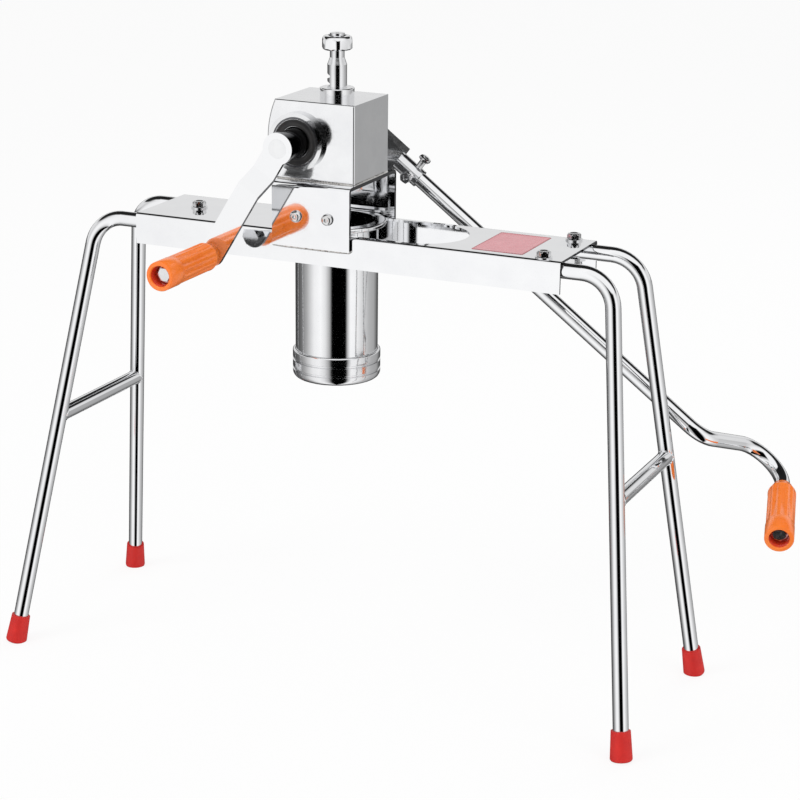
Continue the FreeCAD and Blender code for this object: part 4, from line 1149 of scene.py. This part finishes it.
@dataclass
class BearingDressing(Dressing):
    """The snap ring in the bearing's groove and the dust seal round its hub, front and back."""

    face: float = 37.5
    snap_ring: tuple[Pair, ...] = (
        (19.15, -1.5), (19.05, -0.7), (19.25, -0.45), (20.3, -0.45), (20.5, -0.7), (20.4, -1.5))
    lip: tuple[Pair, ...] = (
        (12.06, -2.9), (12.06, -0.9), (12.36, -0.5), (12.75, -0.35), (12.95, -0.6),
        (12.95, -2.9))
    cover: tuple[Pair, ...] = (
        (13.15, 0.02), (13.15, 0.16), (13.5, 0.3), (14.6, 0.3), (14.9, 0.12), (17.2, 0.12),
        (17.5, 0.3), (18.5, 0.3), (18.8, 0.16), (18.8, 0.02))
    shaft_seal: tuple[Pair, ...] = (
        (8.35, -2.9), (8.35, -2.1), (8.7, -1.8), (11.7, -2.2), (12.0, -2.4), (12.0, -2.9))

    def build(self) -> None:
        """Makes a ring and a seal for each side."""
        snap = bmesh.new()
        seal = bmesh.new()
        for way in (-1, 1):
            stand = self.place.stand(SHAFT[0], way * self.face, SHAFT[2], Vector((0, way, 0)))
            for section, steps, mesh in ((self.snap_ring, 96, snap), (self.lip, 72, seal),
                                         (self.cover, 96, seal), (self.shaft_seal, 72, seal)):
                self.shop.hollow([Ring(*step) for step in section], stand, steps, mesh)
        self.shop.deliver("bearing_snap_rings", snap, "spring_steel", "frame", "bearing_metal")
        self.shop.deliver("bearing_dust_seals", seal, "dust_seal_rubber", "frame")


@dataclass
class ClampScrews(Dressing):
    """The two headed screws that clamp the long rod in its socket."""

    angle: float = -36.66
    along: float = 69.0
    plane: float = 74.6
    start: float = 6.41
    length: float = 12.0
    radius: float = 3.0
    pitch: float = 1.0
    head: float = 3.2
    flats: float = 9.4

    def build(self) -> None:
        """Makes both screws and lets them stand for the plain ones."""
        lean = math.radians(self.angle)
        run = Vector((math.cos(lean), 0, math.sin(lean)))
        rise = Vector((-math.sin(lean), 0, math.cos(lean)))
        spot = Vector(SHAFT) + run * self.along + Vector((0, self.plane, 0))
        mesh = bmesh.new()
        end, neck, flat = self.length, self.length - self.head, self.flats / 2
        for way in (rise, Vector((0, -1, 0))):
            seat = spot + way * self.start
            stand = self.place.stand(seat.x, seat.y, seat.z, way)
            self.shop.thread(self.radius, self.pitch, 0.02, neck - 0.2, stand, mesh, 24)
            self.shop.ringed([
                Ring(self.radius * 0.8, neck - 0.3), Ring(self.radius * 0.8, neck),
                Ring(flat - 0.3, neck), Ring(flat, neck + 0.4, Outline.HEX),
                Ring(flat, end - 0.7, Outline.HEX), Ring(flat - 0.1, end - 0.2), Ring(4.0, end),
                Ring(2.4, end), Ring(2.0, end - 0.3), Ring(0.4, end - 0.4),
            ], stand, 48, mesh)
        made = self.shop.deliver("rod_clamp_hex_screws", mesh, "plated_screw", "crank",
                                 "plated_fasteners")
        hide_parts("rod_clamp_screws")


@dataclass
class RodEnds(Dressing):
    """The thread that stands out of the toothed rod's nut."""

    nut_top: float = 540.0
    end: float = 541.5
    radius: float = 6.0

    def build(self) -> None:
        """Makes the thread's end with its chamfer and centre hole."""
        stand = self.place.stand(0, 0, self.nut_top, UP)
        high = self.end - self.nut_top
        mesh = self.shop.ringed([
            Ring(self.radius + 0.01, -0.5), Ring(self.radius + 0.01, high - 0.5),
            Ring(self.radius - 0.7, high + 0.05), Ring(2.0, high + 0.06), Ring(1.5, high + 0.06),
            Ring(0.4, high - 0.6),
        ], stand, 64)
        self.shop.deliver("rod_end_chamfer", mesh, "milled_rod", "rack", "brushed_steel")


@dataclass
class RackNut(Dressing):
    """The nut on the toothed rod's end, its corners turned round and its top dished."""

    low: float = 528.0
    high: float = 539.3
    flats: float = 24.0
    bore: float = 6.05

    def build(self) -> None:
        """Makes the nut and lets it stand for the plain one."""
        half = self.flats / 2
        stand = self.place.stand(0, 0, self.low, UP)
        tall = self.high - self.low
        mesh = self.shop.hollow([
            Ring(self.bore, 0.0), Ring(half * 0.86, 0.0), Ring(half * 0.95, 0.5),
            Ring(half, 1.6, Outline.SOFT_HEX), Ring(half, tall - 3.4, Outline.SOFT_HEX),
            Ring(half, tall - 1.9), Ring(half * 0.97, tall - 0.9),
            Ring(half * 0.89, tall - 0.2), Ring(half * 0.82, tall), Ring(half * 0.68, tall),
            Ring(half * 0.6, tall - 0.7), Ring(self.bore, tall - 1.0),
        ], stand, 96)
        made = self.shop.deliver("rack_nut_turned", mesh, "polished_bolt", "rack",
                                 "plated_fasteners")
        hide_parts("rack_top_nut")


@dataclass
class CapShell(Dressing):
    """The turned ring cap, with a well rounded foot, two grooves and a chamfered top."""

    low: float = 253.5
    high: float = 277.5
    outside: float = 36.8
    mouth: float = 29.0
    bore: float = 34.85
    ledge: float = 257.05
    foot: Pair = (4.4, 5.2)
    grooves: Pair = (261.5, 269.5)
    groove: tuple[Pair, ...] = (
        (0.0, -1.1), (0.35, -0.85), (0.95, -0.55), (1.1, 0.0), (0.95, 0.55), (0.35, 0.85),
        (0.0, 1.1))

    def build(self) -> None:
        """Makes the cap and lets it stand for the plain one."""
        low, high, wide = self.low, self.high, self.outside
        round_out, round_up = self.foot
        rings = [Ring(self.mouth, low + 0.4), Ring(self.mouth + 0.4, low),
                 Ring(wide - round_out, low)]
        for k in range(1, 8):
            angle = math.radians(90 * k / 7)
            rings.append(Ring(wide - round_out + round_out * math.sin(angle),
                              low + round_up * (1 - math.cos(angle))))
        for level in self.grooves:
            rings += [Ring(wide - back, level + step) for back, step in self.groove]
        rings += [
            Ring(wide, high - 1.3), Ring(wide - 0.3, high - 0.5), Ring(wide - 0.9, high - 0.05),
            Ring(self.bore, high - 0.05), Ring(self.bore, self.ledge), Ring(self.mouth, self.ledge),
        ]
        stand = self.place.stand(0, 0, 0, UP)
        made = self.shop.deliver("cap_shell_turned", self.shop.hollow(rings, stand, 144),
                                 "turned_edge", "cap", "polished_steel")
        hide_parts("barrel_cap")


@dataclass
class TurningGrip:
    """A moulded grip with eleven flutes, a plain collar, a deep mouth and a washer inside."""

    shop: Workshop
    name: str
    body: str
    stands_for: str
    stand: Matrix
    length: float = 82.0
    root: float = 8.6
    cone: float = 9.0
    radius: float = 11.75
    collar_radius: float = 12.0
    collar: float = 19.0
    mouth: float = 8.3
    mouth_depth: float = 12.0
    shank: float = 4.3
    washer: tuple[Pair, ...] = (
        (5.95, 0.05), (5.95, 1.0), (6.2, 1.2), (7.2, 1.2), (7.45, 1.0), (7.45, 0.45), (7.0, 0.1))

    def build(self) -> None:
        """Makes the grip, a darker red skin of painted shade inside its mouth, and its washer."""
        end, start, collar = self.length, self.cone, self.length - self.collar
        wide, full, mouth = self.radius, self.collar_radius, self.mouth
        ribbed = Outline.RIBBED
        rings = [
            Ring(self.shank + 0.2, 0.0), Ring(self.root - 0.5, 0.0), Ring(self.root, 0.5),
            Ring(self.root, 1.6), Ring(self.root + 0.5, 2.1), Ring(wide - 0.35, start),
            Ring(wide, start + 0.8), Ring(wide, start + 1.2), Ring(wide, start + 3.4, ribbed),
            Ring(wide, collar - 3.4, ribbed), Ring(wide, collar - 1.2), Ring(wide, collar - 0.5),
            Ring(full - 0.2, collar - 0.2), Ring(full, collar + 0.4), Ring(full, end - 1.2),
            Ring(full - 0.3, end - 0.4), Ring(full - 1.0, end), Ring(mouth + 0.8, end),
            Ring(mouth + 0.15, end - 0.5), Ring(mouth, end - 1.1),
            Ring(mouth, end - self.mouth_depth - 0.8),
            Ring(self.shank + 0.2, end - self.mouth_depth - 0.8),
        ]
        made = self.shop.deliver(self.name + "_fluted", self.shop.hollow(rings, self.stand, 176),
                                 "orange_grip_plastic", self.body, "orange_plastic")
        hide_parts(self.stands_for)
        floor = end - self.mouth_depth
        # The mouth's inside is painted darker red: painted shade in the recess.
        mouth_painted_shade = self.shop.hollow([
            Ring(mouth - 0.02, end - 1.4), Ring(mouth - 0.12, end - 1.6),
            Ring(mouth - 0.3, floor + 0.4), Ring(self.shank + 0.2, floor),
            Ring(self.shank + 0.2, floor - 0.6), Ring(mouth - 0.02, floor - 0.6),
        ], self.stand, 72)
        self.shop.deliver(self.name + "_mouth", mouth_painted_shade, "grip_mouth_painted_shade", self.body,
                          "orange_plastic")
        washer = self.shop.hollow([Ring(far, floor + up) for far, up in self.washer],
                                  self.stand, 72)
        self.shop.deliver(self.name + "_washer", washer, "polished_bolt", self.body,
                          "plated_fasteners")


@dataclass
class Lamp:
    """One soft lamp of the studio."""

    name: str
    spot: tuple[float, float, float]
    power: float
    size: float


@dataclass
class Studio:
    """The pale floor, the soft light, what the bright metal mirrors, and the camera."""

    place: MachinePlace
    camera_spot: tuple[float, float, float] = (827.4, -1689.1, 819.1)
    camera_aim: tuple[float, float, float] = (59.6, -1.2, 239.4)
    lens: float = 104.63
    sensor: float = 36.0
    roll: float = 0.6
    floor_half: float = 14.0
    floor_level: float = -0.0002
    floor_glow: float = 0.86
    floor_tone: float = 0.88
    lamp_aim: tuple[float, float, float] = (0.0, 0.0, 0.25)
    lamps: tuple[Lamp, ...] = (
        Lamp("lamp_key", (-1.1, -1.5, 2.0), 15.0, 1.1),
        Lamp("lamp_fill", (1.7, -0.7, 1.5), 7.0, 1.2),
        Lamp("lamp_back", (0.2, 1.7, 1.9), 7.0, 1.2),
    )
    room: float = 0.8
    sides: tuple[Pair, ...] = (
        (-180, 0.05), (-146, 0.06), (-116, 0.16), (-90, 0.45), (-64, 0.96), (-44, 1.06),
        (-30, 0.85), (-18, 0.42), (-12, 0.0), (27, 0.0), (32, 0.5), (40, 1.05), (56, 1.0),
        (78, 0.74), (104, 0.5), (131, 0.4), (148, 0.14), (168, 0.05), (180, 0.05))
    behind: tuple[Pair, ...] = (
        (-90, 0.3), (3, 0.78), (20, 0.8), (23, 0.6), (26, 0.02), (86, 0.01), (90, 0.2))
    behind_from: Pair = (72.0, 96.0)
    white_above: Pair = (28.0, 34.0)
    upper_above: Pair = (0.0, 5.0)

    def build_camera(self) -> None:
        """Sets the camera at the photograph's view."""
        data = bpy.data.cameras.new("press_camera")
        data.lens = self.lens
        data.sensor_width = self.sensor
        data.sensor_fit = "HORIZONTAL"
        data.clip_end = 60.0
        made = bpy.data.objects.new("press_camera", data)
        bpy.context.scene.collection.objects.link(made)
        spot = self.place.at(*self.camera_spot)
        ahead = (self.place.at(*self.camera_aim) - spot).normalized()
        level = ahead.cross(UP).normalized()
        upright = level.cross(ahead)
        roll = math.radians(self.roll)
        right = level * math.cos(roll) + upright * math.sin(roll)
        top = upright * math.cos(roll) - level * math.sin(roll)
        turn = Matrix((right, top, -ahead)).transposed().to_4x4()
        made.matrix_world = Matrix.Translation(spot) @ turn
        bpy.context.scene.camera = made

    def floor_material(self) -> bpy.types.Material:
        """Writes a matt floor that glows for the camera and for what the metal mirrors.

        Returns:
            The material.
        """
        material = bpy.data.materials.new("studio_floor")
        material.use_nodes = True
        sums = NodeWriter(material.node_tree)
        sums.nodes.clear()
        rays = sums.nodes.new("ShaderNodeLightPath").outputs
        seen = sums.largest([rays["Is Camera Ray"], rays["Is Glossy Ray"],
                             rays["Is Transmission Ray"]])
        matt = sums.nodes.new("ShaderNodeBsdfDiffuse")
        matt.inputs["Color"].default_value = (self.floor_tone,) * 3 + (1,)
        glow = sums.nodes.new("ShaderNodeEmission")
        glow.inputs["Color"].default_value = (1, 1, 1, 1)
        glow.inputs["Strength"].default_value = 1.0
        mixed = sums.nodes.new("ShaderNodeMixShader")
        sums.feed(mixed.inputs["Fac"], sums.calc("MULTIPLY", seen, self.floor_glow))
        sums.feed(mixed.inputs[1], matt.outputs["BSDF"])
        sums.feed(mixed.inputs[2], glow.outputs["Emission"])
        out = sums.nodes.new("ShaderNodeOutputMaterial")
        sums.feed(out.inputs["Surface"], mixed.outputs["Shader"])
        return material

    def build_floor(self) -> None:
        """Lays the floor, which shows as white and keeps a soft shadow."""
        mesh = bmesh.new()
        bmesh.ops.create_grid(mesh, x_segments=8, y_segments=8, size=self.floor_half)
        data = bpy.data.meshes.new("studio_floor")
        mesh.to_mesh(data)
        mesh.free()
        floor = bpy.data.objects.new("studio_floor", data)
        floor.location.z = self.floor_level
        bpy.context.scene.collection.objects.link(floor)
        floor.visible_glossy = False
        data.materials.append(self.floor_material())

    def build_lamps(self) -> None:
        """Hangs the soft lamps."""
        aim = Vector(self.lamp_aim)
        for lamp in self.lamps:
            data = bpy.data.lights.new(lamp.name, "AREA")
            data.shape = "DISK"
            data.size = lamp.size
            data.energy = lamp.power
            made = bpy.data.objects.new(lamp.name, data)
            made.location = lamp.spot
            made.rotation_euler = (aim - Vector(lamp.spot)).to_track_quat("-Z", "Y").to_euler()
            made.visible_glossy = False
            bpy.context.scene.collection.objects.link(made)

    def build_world(self) -> None:
        """Sets the even light of the room, and the bright and dark cards that metal mirrors.

        A mirroring surface sees a room of pale and dark walls with a black card before the
        press, a grey wall behind it and a dark ceiling over that wall. The camera sees plain
        white, and everything else is lit by one even grey.
        """
        world = bpy.data.worlds.new("studio_room")
        bpy.context.scene.world = world
        world.use_nodes = True
        sky = NodeWriter(world.node_tree)
        sky.nodes.clear()
        aim = Vector(self.camera_spot) - Vector(self.camera_aim)
        toward = Vector((aim.x, aim.y, 0)).normalized()
        right = Vector((-toward.y, toward.x, 0))
        looking = sky.nodes.new("ShaderNodeTexCoord").outputs["Generated"]
        azimuth = sky.calc("ARCTAN2", sky.along(looking, right), sky.along(looking, toward))
        height = sky.calc("ARCSINE", sky.along(looking, UP))

        def from_to(angle: Socket, degrees: Pair) -> Socket:
            """Eases from 0 to 1 between two angles."""
            start, end = (math.radians(value) for value in degrees)
            return sky.spread(angle, 0.0, 1.0, start, end, True)

        ring = sky.ramp(azimuth, self.sides, 180)
        wall = sky.ramp(height, self.behind, 90)
        front = sky.calc("MAXIMUM", ring, from_to(height, self.white_above))
        back = from_to(sky.calc("ABSOLUTE", azimuth), self.behind_from)
        upper = sky.mix(back, front, wall)
        whole = sky.mix(from_to(height, self.upper_above), ring, upper)
        rays = sky.nodes.new("ShaderNodeLightPath").outputs
        mirrored = sky.mix(rays["Is Glossy Ray"], self.room, whole)
        seen = sky.largest([rays["Is Camera Ray"], rays["Is Transmission Ray"]])
        light = sky.nodes.new("ShaderNodeBackground")
        light.inputs["Strength"].default_value = 1.0
        sky.feed(light.inputs["Color"], sky.mix(seen, mirrored, 1.0))
        out = sky.nodes.new("ShaderNodeOutputWorld")
        sky.feed(out.inputs["Surface"], light.outputs["Background"])

    def build(self) -> None:
        """Sets up the whole studio."""
        self.build_camera()
        self.build_floor()
        self.build_lamps()
        self.build_world()
        bpy.context.scene.view_settings.view_transform = "Standard"


@dataclass
class Press:
    """The whole press: the frame's solids, their finishes and the pieces added to them."""

    frame: dict
    place: MachinePlace = field(default_factory=MachinePlace.from_barrel)
    front_grip_spot: tuple[float, float, float] = (-74.36, -81.3, 366.97)
    rear_grip_spot: tuple[float, float, float] = (360.74, 108.2, 173.49)
    rear_grip_way: tuple[float, float, float] = (0.247891, -0.951057, -0.184503)
    rear_grip_shift: float = 0.3

    def __post_init__(self) -> None:
        """Makes the finishes and the workshop."""
        self.finishes = Finishes(self.place)
        self.shop = Workshop(self.finishes)

    def dress_solids(self) -> None:
        """Gives each solid of the frame its finish."""
        for name, solid in self.frame["nodes"].items():
            finish = finish_of(name)
            if solid.data.materials:
                for i in range(len(solid.data.materials)):
                    solid.data.materials[i] = self.finishes[finish]
            else:
                solid.data.materials.append(self.finishes[finish])
            LOG.info("%s: %s", name, finish)

    def build(self) -> None:
        """Dresses the solids and adds the small pieces."""
        self.dress_solids()
        BareLabel(self.place, self.shop).build()
        Welds(self.place, self.shop, self.frame["nodes"]).build()
        for group in (YokeScrews, BeamScrews, BearingDressing, ClampScrews, RodEnds, RackNut,
                      CapShell):
            group(self.place, self.shop).build()
        front = Vector((0, -1, 0))
        TurningGrip(self.shop, "front_grip", "front_handle", "front_grip",
                    self.place.stand(*self.front_grip_spot, front)).build()
        rear = Vector(self.rear_grip_way)
        spot = Vector(self.rear_grip_spot) + rear * self.rear_grip_shift
        TurningGrip(self.shop, "rear_grip", "rear_handle", "rear_grip",
                    self.place.stand(*spot, rear)).build()


def main() -> None:
    """Loads the frame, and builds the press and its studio."""
    logging.basicConfig(level=logging.INFO, format="%(message)s")
    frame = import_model()
    press = Press(frame)
    Studio(press.place).build()
    press.build()


if __name__ == "__main__":
    main()
